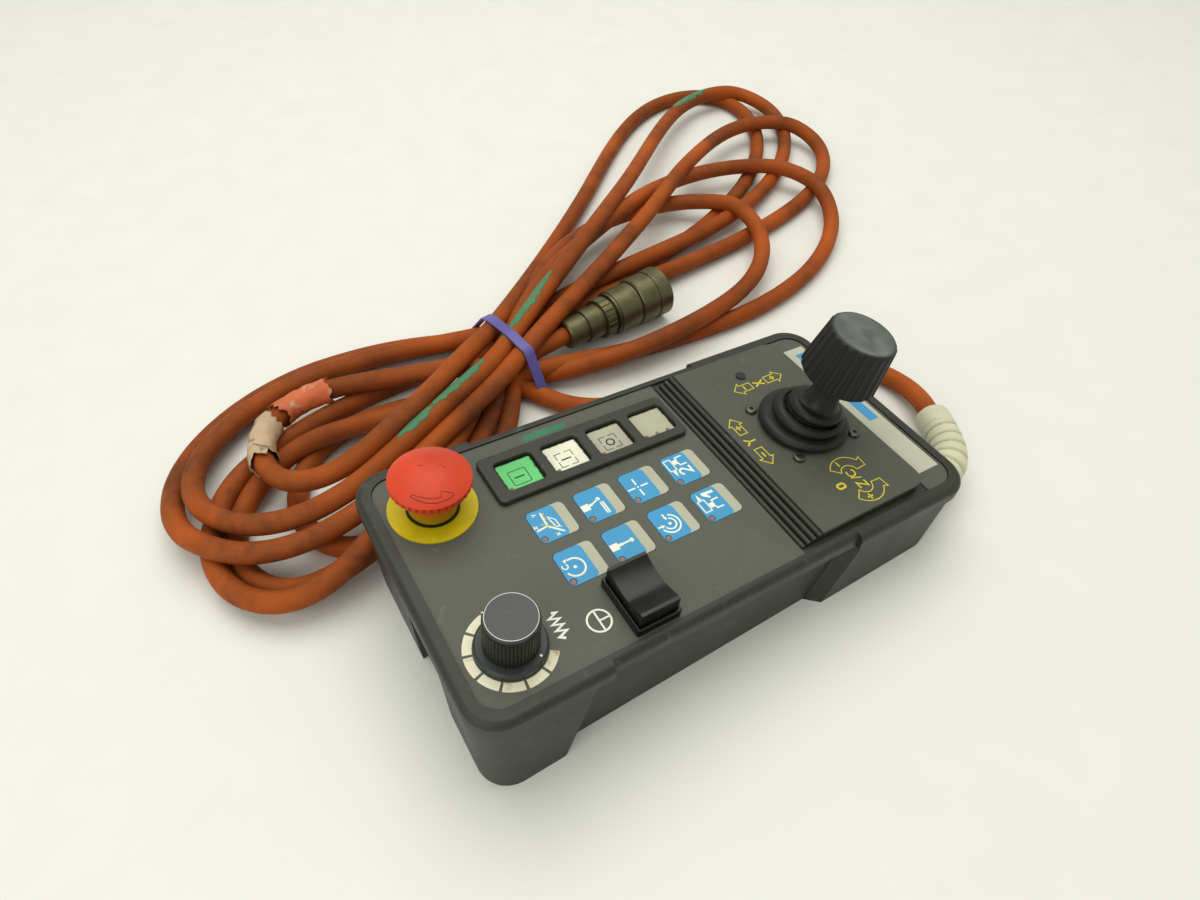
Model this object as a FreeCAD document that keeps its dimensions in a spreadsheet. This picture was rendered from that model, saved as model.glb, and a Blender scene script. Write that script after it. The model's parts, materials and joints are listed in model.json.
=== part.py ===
"""Hand controller of a coordinate measuring machine with its tied cable, in millimetres.

The world frame stands on the floor under the middle of the case: +X runs from the emergency stop to the
joystick, +Y to the guarded keys and +Z up. The panel frame (u, v, w) starts in the middle of the keypad
foil, lies along the tilted top of the case and is higher at the emergency stop.
"""
import FreeCAD
import Part
import Sketcher
import math
import os
from types import SimpleNamespace

SIZES = {
    # Case and panel
    "tilt": 5.0,
    "panel_height": 53.5,
    "shift": 0.45,
    "wall": 3.0,
    "case_left": 134.5,
    "case_right": 127.5,
    "end_lean": 0.188,
    "block_half": 67.8,
    "waist_half": 61.5,
    "left_block_edge": 93.2,
    "left_edge_lean": 0.309,
    "right_block_edge": 40.7,
    "right_edge_lean": 0.376,
    "block_chamfer": 6.0,
    "case_corner": 15.0,
    "case_top": 66.0,
    "parting": 7.05,
    "notch_depth": 4.0,
    "notch_near": 26.0,
    "notch_far": 6.0,
    "rim_half_length": 136.0,
    "rim_block_half": 69.2,
    "rim_waist_half": 67.0,
    "rim_left_step": 76.8,
    "rim_right_step": 57.0,
    "rim_corner": 16.0,
    "rim_top": 0.8,
    "rim_bottom": 7.0,
    "rim_round": 3.5,
    "lip_half_length": 126.0,
    "lip_half_width": 58.0,
    "plate_top": 0.6,
    "plate_bottom": 3.6,
    "foil_half_length": 129.0,
    "foil_half_width": 62.0,
    "foil_corner": 10.0,
    "foil_gap": 0.2,
    "foil_bottom": 0.5,
    "foil_end": 27.4,
    "strip_start": 109.2,
    "label_start": 110.5,
    "label_end": 127.0,
    "label_half": 52.0,
    "label_thick": 0.25,
    # Step ribs and joystick platform
    "rib_start": 27.9,
    "rib_pitch": 2.94,
    "rib_width": 2.7,
    "rib_first_top": 0.95,
    "rib_rise": 1.17,
    "platform_start": 39.6,
    "platform_end": 108.7,
    "platform_half": 59.1,
    "platform_top": 3.35,
    "platform_corner": 8.0,
    "cover_thick": 1.5,
    "cover_hole": 41.0,
    "plug_u": 72.7,
    "plug_v": 42.7,
    "plug_head": 5.4,
    "plug_stem": 4.0,
    # Keys
    "key_pitch": 24.5,
    "key_start": -63.9,
    "key_row_far": 5.7,
    "key_row_near": -19.15,
    "key_length": 18.9,
    "key_width": 18.4,
    "key_corner": 2.5,
    "key_top": 0.12,
    "key_gap": 0.2,
    "key_floor": 1.25,
    "plunger": 10.8,
    "plunger_bottom": 4.1,
    "plunger_hole": 13.0,
    "key_led_u": -7.5,
    "key_led_v": -6.9,
    "led_radius": 1.3,
    "led_hole": 1.6,
    "guard_u": -28.2,
    "guard_v": 37.5,
    "guard_length": 104.0,
    "guard_width": 28.9,
    "guard_corner": 3.0,
    "guard_top": 3.0,
    "guard_round": 0.9,
    "window_length": 19.6,
    "window_width": 18.0,
    "guarded_start": -63.8,
    "guarded_pitch": 25.0,
    "guarded_top": 0.9,
    "status_led_pitch": 5.0,
    "board_top": 5.0,
    "board_thick": 1.6,
    "dome_radius": 4.0,
    "dome_height": 0.4,
    "keyboard_left": -81.0,
    "keyboard_right": 22.0,
    "keyboard_near": -30.0,
    "keyboard_far": 54.0,
    "post_inset": 4.0,
    "post_radius": 2.5,
    # Emergency stop
    "stop_u": -107.0,
    "stop_v": 37.3,
    "stop_disc": 20.0,
    "stop_disc_top": 0.8,
    "stop_seal": 12.0,
    "stop_seal_top": 2.0,
    "stop_barrel": 11.0,
    "stop_hole": 11.2,
    "stop_collar_top": 13.0,
    "stop_bore": 8.3,
    "stop_guide": 5.1,
    "stop_guide_top": 7.0,
    "stop_barrel_end": 18.0,
    "stop_nut": 13.5,
    "stop_nut_thick": 5.0,
    "stop_stem": 5.0,
    "stop_stem_top": 20.0,
    "stop_stem_end": 14.0,
    "stop_block_u": 22.0,
    "stop_block_v": 28.0,
    "stop_block_top": 20.0,
    "stop_block_end": 42.0,
    "stop_head": 18.0,
    "stop_hub": 7.8,
    "stop_hub_end": 14.0,
    "stop_skirt_inner": 11.6,
    "stop_skirt_end": 17.0,
    "stop_skirt_top": 20.5,
    "stop_dome_top": 26.5,
    "stop_serrations": 36.0,
    "stop_serration": 0.75,
    # Speed knob
    "speed_u": -107.9,
    "speed_v": -40.4,
    "speed_hole": 5.2,
    "bushing": 4.75,
    "bushing_top": 6.0,
    "speed_shaft": 3.0,
    "shaft_top": 16.0,
    "pot_radius": 12.0,
    "pot_top": 3.7,
    "pot_end": 17.0,
    "skirt_radius": 14.7,
    "skirt_bottom": 0.8,
    "skirt_top": 3.5,
    "knob_radius": 11.3,
    "knob_top": 20.0,
    "knob_hollow": 8.0,
    "knob_hollow_top": 8.5,
    "knob_grooves": 48.0,
    "knob_groove": 0.45,
    "cap_radius": 10.9,
    "cap_top": 22.0,
    # Rocker switch
    "rocker_u": -51.5,
    "rocker_v": -46.6,
    "rocker_length": 21.6,
    "rocker_width": 29.0,
    "rocker_corner": 1.2,
    "rocker_frame_top": 4.5,
    "rocker_opening_length": 19.4,
    "rocker_opening_width": 26.8,
    "rocker_body_length": 19.0,
    "rocker_body_width": 22.4,
    "rocker_body_end": 18.0,
    "rocker_panel_gap": 0.2,
    "rocker_axis": 2.0,
    "rocker_pin": 1.5,
    "rocker_cap_length": 18.6,
    "rocker_cap_half": 13.0,
    "rocker_flange": 1.5,
    "rocker_cap_top": 12.2,
    "rocker_cap_under": 2.2,
    "rocker_stem_half": 7.0,
    "rocker_stem_end": 1.2,
    "rocker_dish": 26.0,
    "blade_length": 0.8,
    "blade_width": 6.3,
    "blade_end": 27.0,
    "blade_pitch": 8.0,
    # Joystick
    "stick_u": 79.0,
    "stick_v": 0.0,
    "pivot_depth": 6.0,
    "lean_along": 8.5,
    "lean_across": 6.0,
    "flange_half": 30.0,
    "flange_gap": 0.5,
    "flange_thick": 3.0,
    "flange_corner": 6.0,
    "cup_outer": 24.0,
    "cup_inner": 21.5,
    "cup_end": 37.0,
    "cup_floor": 2.0,
    "gimbal_outer": 18.5,
    "gimbal_inner": 14.5,
    "gimbal_half": 4.5,
    "pin_radius": 2.0,
    "pin_fit": 0.05,
    "gimbal_pin_reach": 23.6,
    "stick_pin_reach": 18.2,
    "stick_radius": 4.5,
    "stick_end": 14.0,
    "stick_ball": 6.5,
    "stick_top": 59.0,
    "grip_bottom": 45.0,
    "grip_top": 71.0,
    "grip_low_radius": 19.5,
    "grip_high_radius": 16.8,
    "grip_edge": 1.1,
    "grip_dish": 1.6,
    "grip_bore": 4.6,
    "grip_flutes": 24.0,
    "flute_low": 1.9,
    "flute_high": 1.7,
    "flute_out": 0.9,
    "boot_low_radius": 23.2,
    "boot_low_top": 9.5,
    "boot_wall": 1.5,
    "boot_mid_radius": 18.3,
    "boot_mid_bottom": 16.0,
    "boot_mid_top": 21.0,
    "boot_high_radius": 13.2,
    "boot_high_top": 26.5,
    "boot_neck_low": 10.0,
    "boot_neck_high": 6.4,
    "boot_neck_top": 34.0,
    "boot_end": 43.0,
    "boot_bore": 4.75,
    "screw_half": 18.74,
    "screw_head": 3.0,
    "screw_head_high": 2.0,
    "screw_shank": 1.5,
    "screw_hole": 1.6,
    # Screws, boards and cable exit
    "case_screw_left_x": 120.0,
    "case_screw_left_y": 57.0,
    "case_screw_right_x": 116.0,
    "case_screw_right_y": 28.0,
    "case_boss": 4.5,
    "case_screw_head": 3.0,
    "case_screw_sink": 3.3,
    "case_screw_depth": 14.0,
    "case_screw_key": 1.5,
    "case_pilot": 1.9,
    "main_left": -70.0,
    "main_right": 40.0,
    "main_half": 45.0,
    "main_bottom": 9.0,
    "standoff": 3.0,
    "main_inset": 6.0,
    "gland_y": -50.0,
    "gland_z": 22.0,
    "gland_face": 133.0,
    "gland_flange": 12.0,
    "gland_flange_thick": 3.0,
    "gland_thread": 8.0,
    "gland_hole": 8.15,
    "gland_reach": 16.0,
    "cable": 11.5,
    "relief_radius": 8.0,
    "relief_turn": 2.3,
    "relief_turns": 5.0,
    "relief_sleeve": 12.6,
    # Hank, tie and connector
    "hank_bottom": 1.2,
    "hank_top": 40.0,
    "neck_length": 36.0,
    "tie_x": -10.0,
    "tie_y": 161.0,
    "tie_angle": 99.0,
    "tie_length": 66.0,
    "tie_width": 7.0,
    "tie_top": 34.6,
    "tie_thick": 1.2,
    "plug_back_x": 28.0,
    "plug_back_y": 156.0,
    "plug_z": 17.0,
    "plug_angle": 6.6,
    "plug_length": 78.5,
    "clamp_radius": 9.5,
    "clamp_length": 14.0,
    "sleeve_radius": 10.8,
    "sleeve_end": 26.3,
    "nut_radius": 13.0,
    "nut_end": 33.2,
    "nut_grooves": 20.0,
    "nut_groove": 0.5,
    "neck_radius": 11.8,
    "neck_end": 35.0,
    "shell_rim": 14.0,
    "shell_start": 37.0,
    "shell_radius": 14.6,
    "shell_end": 53.2,
    "barrel_radius": 13.0,
    "barrel_setback": 2.0,
    "ring_start": 54.2,
    "ring_step": 68.0,
    "ring_back_radius": 15.9,
    "ring_radius": 16.5,
    "ring_bevel": 1.0,
    "ring_holes": 6.0,
    "ring_hole": 0.9,
    "ring_hole_depth": 1.2,
    "ring_hole_back": 4.0,
    "insert_radius": 11.8,
    "insert_setback": 8.0,
    "contact_radius": 1.0,
}

# The cable from the strain relief round the back of the case to the tie, and its strain relief
RELIEF_ROUTE = [
    (133, -50.6, 22.1), (146, -49, 21.6), (158.5, -42, 19.6), (170, -28.8, 16.3), (180, -11, 13)]
LEAD_ROUTE = [
    (180, -11, 13), (187, 1.46, 10.69), (191, 15.5, 8), (190, 30, 6.3), (184, 44.5, 6), (173.5, 58, 6.2),
    (158.5, 69, 6), (139, 77.5, 6), (116, 83.5, 6.2), (91, 87, 6), (66, 89, 6), (42, 92, 6.2), (21, 98, 6),
    (5, 109, 6.2), (-5, 124.5, 6), (-9, 141, 6.2)]
TAIL_ROUTE = [(-2, 151, 17), (13, 154, 17.4), (28, 156, 17)]
# Outer edge of the tied hank and its two open lobes, seen from above
HANK_EDGE = [
    (-16, 198), (-64, 217), (-118, 223), (-180, 207), (-217, 174), (-225, 130), (-209, 86), (-176, 62),
    (-146, 62), (-118, 92), (-66, 107), (-4, 134), (60, 126), (130, 128), (206, 134), (262, 152), (308, 206),
    (352, 262), (369, 330), (365, 394), (320, 429), (254, 414), (186, 366), (104, 296), (40, 242)]
LEFT_LOBE = [(-48, 176), (-92, 186), (-130, 180), (-146, 158), (-132, 136), (-94, 126), (-52, 142)]
RIGHT_LOBE = [(20, 143), (66, 141), (118, 144), (150, 166), (146, 194), (104, 204), (54, 202), (22, 184)]

DOCUMENT = FreeCAD.newDocument("hand_controller")
PARTS = []


class Dim:
    """A size together with the formula that reads it from the sheet."""

    def __init__(self, value, formula=None):
        self.value = float(value)
        self.formula = formula or f"({self.value!r})"

    def joined(self, other, sign, value):
        return Dim(value, f"({self.formula} {sign} {other.formula})")

    def __add__(self, other):
        other = as_dim(other)
        return self.joined(other, "+", self.value + other.value)

    def __sub__(self, other):
        other = as_dim(other)
        return self.joined(other, "-", self.value - other.value)

    def __mul__(self, other):
        other = as_dim(other)
        return self.joined(other, "*", self.value * other.value)

    def __truediv__(self, other):
        other = as_dim(other)
        return self.joined(other, "/", self.value / other.value)

    def __radd__(self, other):
        return as_dim(other) + self

    def __rsub__(self, other):
        return as_dim(other) - self

    def __rmul__(self, other):
        return as_dim(other) * self

    def __neg__(self):
        return Dim(-self.value, f"(-{self.formula})")


def as_dim(size):
    return size if isinstance(size, Dim) else Dim(size)


def fill_sheet():
    sheet = DOCUMENT.addObject("Spreadsheet::Sheet", "dims")
    for row, (name, value) in enumerate(SIZES.items(), 1):
        sheet.set(f"A{row}", name)
        sheet.set(f"B{row}", str(value))
        sheet.setAlias(f"B{row}", name)
    DOCUMENT.recompute()


S = SimpleNamespace(**{name: Dim(value, "dims." + name) for name, value in SIZES.items()})
COS = Dim(math.cos(math.radians(SIZES["tilt"])), "cos(dims.tilt * 1 deg)")
SIN = Dim(math.sin(math.radians(SIZES["tilt"])), "sin(dims.tilt * 1 deg)")
X_AXIS = FreeCAD.Vector(1, 0, 0)
Y_AXIS = FreeCAD.Vector(0, 1, 0)
Z_AXIS = FreeCAD.Vector(0, 0, 1)
OVERSHOOT = 5.0


# Placing

def turned(*turns):
    rotation = FreeCAD.Rotation()
    for axis, degrees in turns:
        rotation = rotation.multiply(FreeCAD.Rotation(axis, as_dim(degrees).value))
    return rotation


def put(obj, x, y, z, rotation=None):
    """Bind an object's place to the sheet."""
    place = [as_dim(size) for size in (x, y, z)]
    obj.Placement = FreeCAD.Placement(FreeCAD.Vector(*[size.value for size in place]), rotation or turned())
    for name, size in zip("xyz", place):
        obj.setExpression("Placement.Base." + name, size.formula)


def panel_point(u, v, w):
    return u * COS + w * SIN + S.shift, as_dim(v), S.panel_height - u * SIN + w * COS


def on_panel(obj, u=0.0, v=0.0, w=0.0, *more_turns):
    put(obj, *panel_point(as_dim(u), v, as_dim(w)), turned((Y_AXIS, S.tilt), *more_turns))


# Sketches

def new_body(label):
    body = DOCUMENT.addObject("PartDesign::Body", label)
    body.Label = label
    body.AllowCompound = True
    PARTS.append(body)
    return body


def new_sketch(body, role, level):
    sketch = body.newObject("Sketcher::SketchObject", body.Name + "_sketch")
    plane = next(item for item in body.Origin.OriginFeatures if item.Role == role)
    sketch.AttachmentSupport = [(plane, "")]
    sketch.MapMode = "FlatFace"
    sketch.setExpression("AttachmentOffset.Base.z", as_dim(level).formula)
    return sketch


def pin(sketch, geometry, end, x, y):
    """Hold one point of a sketch at a place from the sheet."""
    for kind, size, axis in (("DistanceX", as_dim(x), -2), ("DistanceY", as_dim(y), -1)):
        if abs(size.value) < 1e-9:
            sketch.addConstraint(Sketcher.Constraint("PointOnObject", geometry, end, axis))
            continue
        points = (-1, 1, geometry, end) if size.value > 0 else (geometry, end, -1, 1)
        number = sketch.addConstraint(Sketcher.Constraint(kind, *points, abs(size.value)))
        sketch.setExpression(f"Constraints[{number}]", size.formula if size.value > 0 else (-size).formula)


def hold_radius(sketch, geometry, radius):
    radius = as_dim(radius)
    number = sketch.addConstraint(Sketcher.Constraint("Radius", geometry, radius.value))
    sketch.setExpression(f"Constraints[{number}]", radius.formula)


def circle(sketch, radius, x=0.0, y=0.0):
    centre = FreeCAD.Vector(as_dim(x).value, as_dim(y).value, 0)
    geometry = sketch.addGeometry(Part.Circle(centre, Z_AXIS, as_dim(radius).value))
    pin(sketch, geometry, 3, x, y)
    hold_radius(sketch, geometry, radius)


def rectangle(sketch, left, low, right, high, radii=(0, 0, 0, 0)):
    """A rectangle whose corners (left low, right low, right high, left high) may be rounded."""
    corners = [(left, low, 1, 1), (right, low, -1, 1), (right, high, -1, -1), (left, high, 1, -1)]
    stops = []
    for index, ((x, y, inward_x, inward_y), radius) in enumerate(zip(corners, radii)):
        radius = as_dim(radius)
        x = as_dim(x)
        y = as_dim(y)
        if radius.value == 0:
            point = FreeCAD.Vector(x.value, y.value, 0)
            stops.append((point, point, None, (x, y)))
            continue
        middle = (x + inward_x * radius, y + inward_y * radius)
        centre = FreeCAD.Vector(middle[0].value, middle[1].value, 0)
        start = math.pi * (1 + index / 2)
        arc = Part.ArcOfCircle(Part.Circle(centre, Z_AXIS, radius.value), start, start + math.pi / 2)
        geometry = sketch.addGeometry(arc)
        pin(sketch, geometry, 3, *middle)
        hold_radius(sketch, geometry, radius)
        stops.append((arc.StartPoint, arc.EndPoint, geometry, None))
    sides = []
    for index in range(4):
        begin = stops[index][1]
        finish = stops[(index + 1) % 4][0]
        sides.append(sketch.addGeometry(Part.LineSegment(begin, finish)))
    for index, (_, _, arc, corner) in enumerate(stops):
        before = sides[index - 1]
        after = sides[index]
        if arc is None:
            sketch.addConstraint(Sketcher.Constraint("Coincident", before, 2, after, 1))
            pin(sketch, after, 1, *corner)
        else:
            sketch.addConstraint(Sketcher.Constraint("Tangent", before, 2, arc, 1))
            sketch.addConstraint(Sketcher.Constraint("Tangent", arc, 2, after, 1))


def centred(sketch, length, width, radius=0, x=0.0, y=0.0):
    half_length = length / 2
    half_width = width / 2
    rectangle(sketch, x - half_length, y - half_width, x + half_length, y + half_width, (radius,) * 4)


def polygon(sketch, points, arcs=None):
    """A closed outline whose numbered sides may be arcs through a mid point.

    An arc also has a radius, or "half" for a half circle, or "axis" for a centre on the upright axis.
    """
    arcs = arcs or {}
    places = [FreeCAD.Vector(as_dim(x).value, as_dim(y).value, 0) for x, y in points]
    sides = []
    for index, begin in enumerate(places):
        finish = places[(index + 1) % len(places)]
        if index not in arcs:
            sides.append((sketch.addGeometry(Part.LineSegment(begin, finish)), 1, 2))
            continue
        (mid_x, mid_y), radius = arcs[index]
        middle = FreeCAD.Vector(as_dim(mid_x).value, as_dim(mid_y).value, 0)
        geometry = sketch.addGeometry(Part.Arc(begin, middle, finish))
        leftward = (middle - begin).cross(finish - middle).z > 0
        sides.append((geometry, 1, 2) if leftward else (geometry, 2, 1))
        if radius == "axis":
            sketch.addConstraint(Sketcher.Constraint("PointOnObject", geometry, 3, -2))
        elif radius == "half":
            sketch.addConstraint(Sketcher.Constraint("Symmetric", geometry, 1, geometry, 2, geometry, 3))
        else:
            hold_radius(sketch, geometry, radius)
    for index, (geometry, start, _) in enumerate(sides):
        previous = sides[index - 1]
        sketch.addConstraint(Sketcher.Constraint("Coincident", previous[0], previous[2], geometry, start))
        pin(sketch, geometry, start, *points[index])


def vee(sketch, reach, depth):
    """A groove's outline that points at the middle from the rim of a round piece."""
    polygon(sketch, [(reach - depth, 0), (reach + depth, -2 * depth), (reach + depth, 2 * depth)])


def hexagon(sketch, flats, x=0.0, y=0.0):
    """A hexagon of a given half width across its flats."""
    reach = flats * (2 / math.sqrt(3))
    steps = [(math.cos(math.radians(60 * i)), math.sin(math.radians(60 * i))) for i in range(6)]
    polygon(sketch, [(x + cosine * reach, y + sine * reach) for cosine, sine in steps])


# Features

def extrude(body, kind, role, level, length, draw, both_ways=False):
    sketch = new_sketch(body, role, level)
    draw(sketch)
    before = body.Shape.Volume if body.Tip and kind == "Pocket" else None
    feature = body.newObject("PartDesign::" + kind, f"{body.Name}_{kind.lower()}")
    feature.Profile = sketch
    feature.SideType = "Symmetric" if both_ways else "One side"
    feature.setExpression("Length", as_dim(length).formula)
    DOCUMENT.recompute()
    if "Invalid" in feature.State or "Error" in feature.State:
        raise ValueError(f"{feature.Name} failed: {feature.State}")
    if before is not None and body.Shape.Volume > before - 1e-3:
        raise ValueError(f"{feature.Name} cuts nothing")
    return feature


def pad(body, low, high, draw, role="XY_Plane"):
    return extrude(body, "Pad", role, low, as_dim(high) - low, draw)


def cut(body, low, high, draw, role="XY_Plane"):
    return extrude(body, "Pocket", role, high, as_dim(high) - low, draw)


def pad_across(body, half, draw, role="XZ_Plane"):
    return extrude(body, "Pad", role, 0, 2 * as_dim(half), draw, both_ways=True)


def cut_across(body, half, draw, role="XZ_Plane"):
    return extrude(body, "Pocket", role, 0, 2 * as_dim(half), draw, both_ways=True)


def revolve(body, draw, kind="Revolution"):
    """Turn an (r, z) outline about the body's own Z axis."""
    sketch = new_sketch(body, "XZ_Plane", 0)
    draw(sketch)
    feature = body.newObject("PartDesign::" + kind, f"{body.Name}_{kind.lower()}")
    feature.Profile = sketch
    feature.ReferenceAxis = (sketch, ["V_Axis"])
    feature.Angle = 360
    DOCUMENT.recompute()
    return feature


def repeat_around(body, feature, count):
    pattern = body.newObject("PartDesign::PolarPattern", body.Name + "_pattern")
    pattern.Originals = [feature]
    pattern.Axis = (feature.Profile[0], ["N_Axis"])
    pattern.Angle = 360
    pattern.setExpression("Occurrences", count.formula)
    body.Tip = pattern
    DOCUMENT.recompute()


def dress(body, kind, size, wanted):
    """Round or bevel the edges whose box passes a test."""
    base = body.Tip
    names = [f"Edge{n}" for n, edge in enumerate(base.Shape.Edges, 1) if wanted(edge.BoundBox)]
    if not names:
        raise ValueError(f"{body.Name} has no edge for its {kind}")
    feature = body.newObject("PartDesign::" + kind, f"{body.Name}_{kind.lower()}")
    feature.Base = (base, names)
    feature.setExpression("Radius" if kind == "Fillet" else "Size", size.formula)
    DOCUMENT.recompute()


def near(a, b):
    return abs(a - as_dim(b).value) < 0.02


def lies_at(box, level):
    return near(box.ZMin, level) and near(box.ZMax, level)


def plate(label, low, high, draw):
    body = new_body(label)
    pad(body, low, high, draw)
    return body


def disc(label, radius, low, high, bore=None):
    def outline(sketch):
        circle(sketch, radius)
        if bore is not None:
            circle(sketch, bore)

    return plate(label, low, high, outline)


def block(label, low_corner, high_corner):
    """A plain box between two corners of the panel frame."""
    box = DOCUMENT.addObject("Part::Box", label)
    box.Label = label
    for name, low, high in zip(("Length", "Width", "Height"), low_corner, high_corner):
        box.setExpression(name, (as_dim(high) - low).formula)
    on_panel(box, *low_corner)
    PARTS.append(box)


# Case

def leaning_outline(left, left_lean, right, right_lean, low, high):
    """Four corners of a side view whose ends lean with height."""
    return [(left + left_lean * low, low), (right + right_lean * low, low),
            (right + right_lean * high, high), (left + left_lean * high, high)]


def case_screw_places():
    left = [(-S.case_screw_left_x, side * S.case_screw_left_y) for side in (-1, 1)]
    right = [(S.case_screw_right_x, side * S.case_screw_right_y) for side in (-1, 1)]
    return left + right


def parting_height(x):
    return S.panel_height - S.parting / COS - (x - S.shift) * SIN / COS


def make_lower_shell():
    body = new_body("lower_shell")
    inner_left = -(S.case_left - S.notch_depth - S.wall)
    inner_right = S.case_right - S.wall
    still = as_dim(0)

    def side_view(left, left_lean, right, right_lean, low=as_dim(0), high=S.case_top):
        return lambda sketch: polygon(sketch, leaning_outline(left, left_lean, right, right_lean, low, high))

    pad_across(body, S.waist_half, side_view(-S.case_left, still, S.case_right, S.end_lean))
    pad_across(body, S.block_half, side_view(-S.case_left, still, -S.left_block_edge, S.left_edge_lean))
    pad_across(body, S.block_half, side_view(S.right_block_edge, S.right_edge_lean, S.case_right, S.end_lean))

    def on_block_side(box):
        return near(abs(box.YMin), S.block_half) and box.YLength < 0.02 and box.ZLength > 30

    dress(body, "Chamfer", S.block_chamfer, lambda box: on_block_side(box) and -110 < box.Center.x < 80)
    dress(body, "Fillet", S.case_corner, lambda box: on_block_side(box) and abs(box.Center.x) > 115)

    above = S.case_top + OVERSHOOT
    cut_across(body, S.waist_half - S.wall,
               side_view(inner_left, still, inner_right, S.end_lean, S.wall, above))
    left_hollow_end = -S.left_block_edge - 2 * S.wall
    right_hollow_start = S.right_block_edge + 2 * S.wall
    cut_across(body, S.block_half - 2 * S.wall,
               side_view(inner_left, still, left_hollow_end, S.left_edge_lean, S.wall, above))
    cut_across(body, S.block_half - 2 * S.wall,
               side_view(right_hollow_start, S.right_edge_lean, inner_right, S.end_lean, S.wall, above))

    def at_screws(radius):
        def outline(sketch):
            for x, y in case_screw_places():
                circle(sketch, radius, x, y)
        return outline

    pad(body, S.wall / 2, S.case_top, at_screws(S.case_boss))
    beyond = S.rim_half_length + OVERSHOOT
    over = [(-beyond, parting_height(-beyond)), (beyond, parting_height(beyond)),
            (beyond, above + OVERSHOOT), (-beyond, above + OVERSHOOT)]
    cut_across(body, S.rim_block_half + OVERSHOOT, lambda sketch: polygon(sketch, over))
    cut(body, as_dim(-OVERSHOOT), above, at_screws(S.screw_hole))
    cut(body, as_dim(-OVERSHOOT), S.case_screw_depth, at_screws(S.case_screw_sink))

    def notch(sketch):
        rectangle(sketch, -S.case_left - OVERSHOOT, -S.notch_near, S.notch_depth - S.case_left, S.notch_far)

    cut(body, as_dim(-OVERSHOOT), above, notch)
    outside = S.gland_face + 2 * OVERSHOOT
    cut(body, S.gland_face, outside,
        lambda sketch: circle(sketch, S.gland_flange + S.foil_gap, S.gland_y, S.gland_z), "YZ_Plane")
    cut(body, S.gland_face - S.gland_reach, outside,
        lambda sketch: circle(sketch, S.gland_hole, S.gland_y, S.gland_z), "YZ_Plane")


def key_places():
    """Name, centre, length, width and top of every key."""
    places = []
    for row, v in (("far", S.key_row_far), ("near", S.key_row_near)):
        for column in range(4):
            u = S.key_start + column * S.key_pitch
            places.append((f"key_{row}_{column + 1}", u, v, S.key_length, S.key_width, S.key_top))
    guarded_length = S.window_length - 4 * S.key_gap
    guarded_width = S.window_width - 4 * S.key_gap
    for column, name in enumerate(("guarded_key_start", "guarded_key_enable", "guarded_key_hold")):
        u = S.guarded_start + column * S.guarded_pitch
        places.append((name, u, S.guard_v, guarded_length, guarded_width, S.guarded_top))
    return places


def key_led_places():
    return [(u + S.key_led_u, v + S.key_led_v) for name, u, v, *_ in key_places() if name.startswith("key")]


def status_led_places():
    u = S.guarded_start + 3 * S.guarded_pitch
    return [(u, S.guard_v + step * S.status_led_pitch) for step in (-1, 0, 1)]


def draw_key_openings(gap):
    def outline(sketch):
        for _, u, v, length, width, _ in key_places():
            centred(sketch, length + 2 * gap, width + 2 * gap, S.key_corner, u, v)
    return outline


def draw_leds(radius, places):
    def outline(sketch):
        for u, v in places:
            circle(sketch, radius, u, v)
    return outline


def board_post_places():
    return [(u, v) for u in (S.keyboard_left + S.post_inset, S.keyboard_right - S.post_inset)
            for v in (S.keyboard_near + S.post_inset, S.keyboard_far - S.post_inset)]


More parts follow.
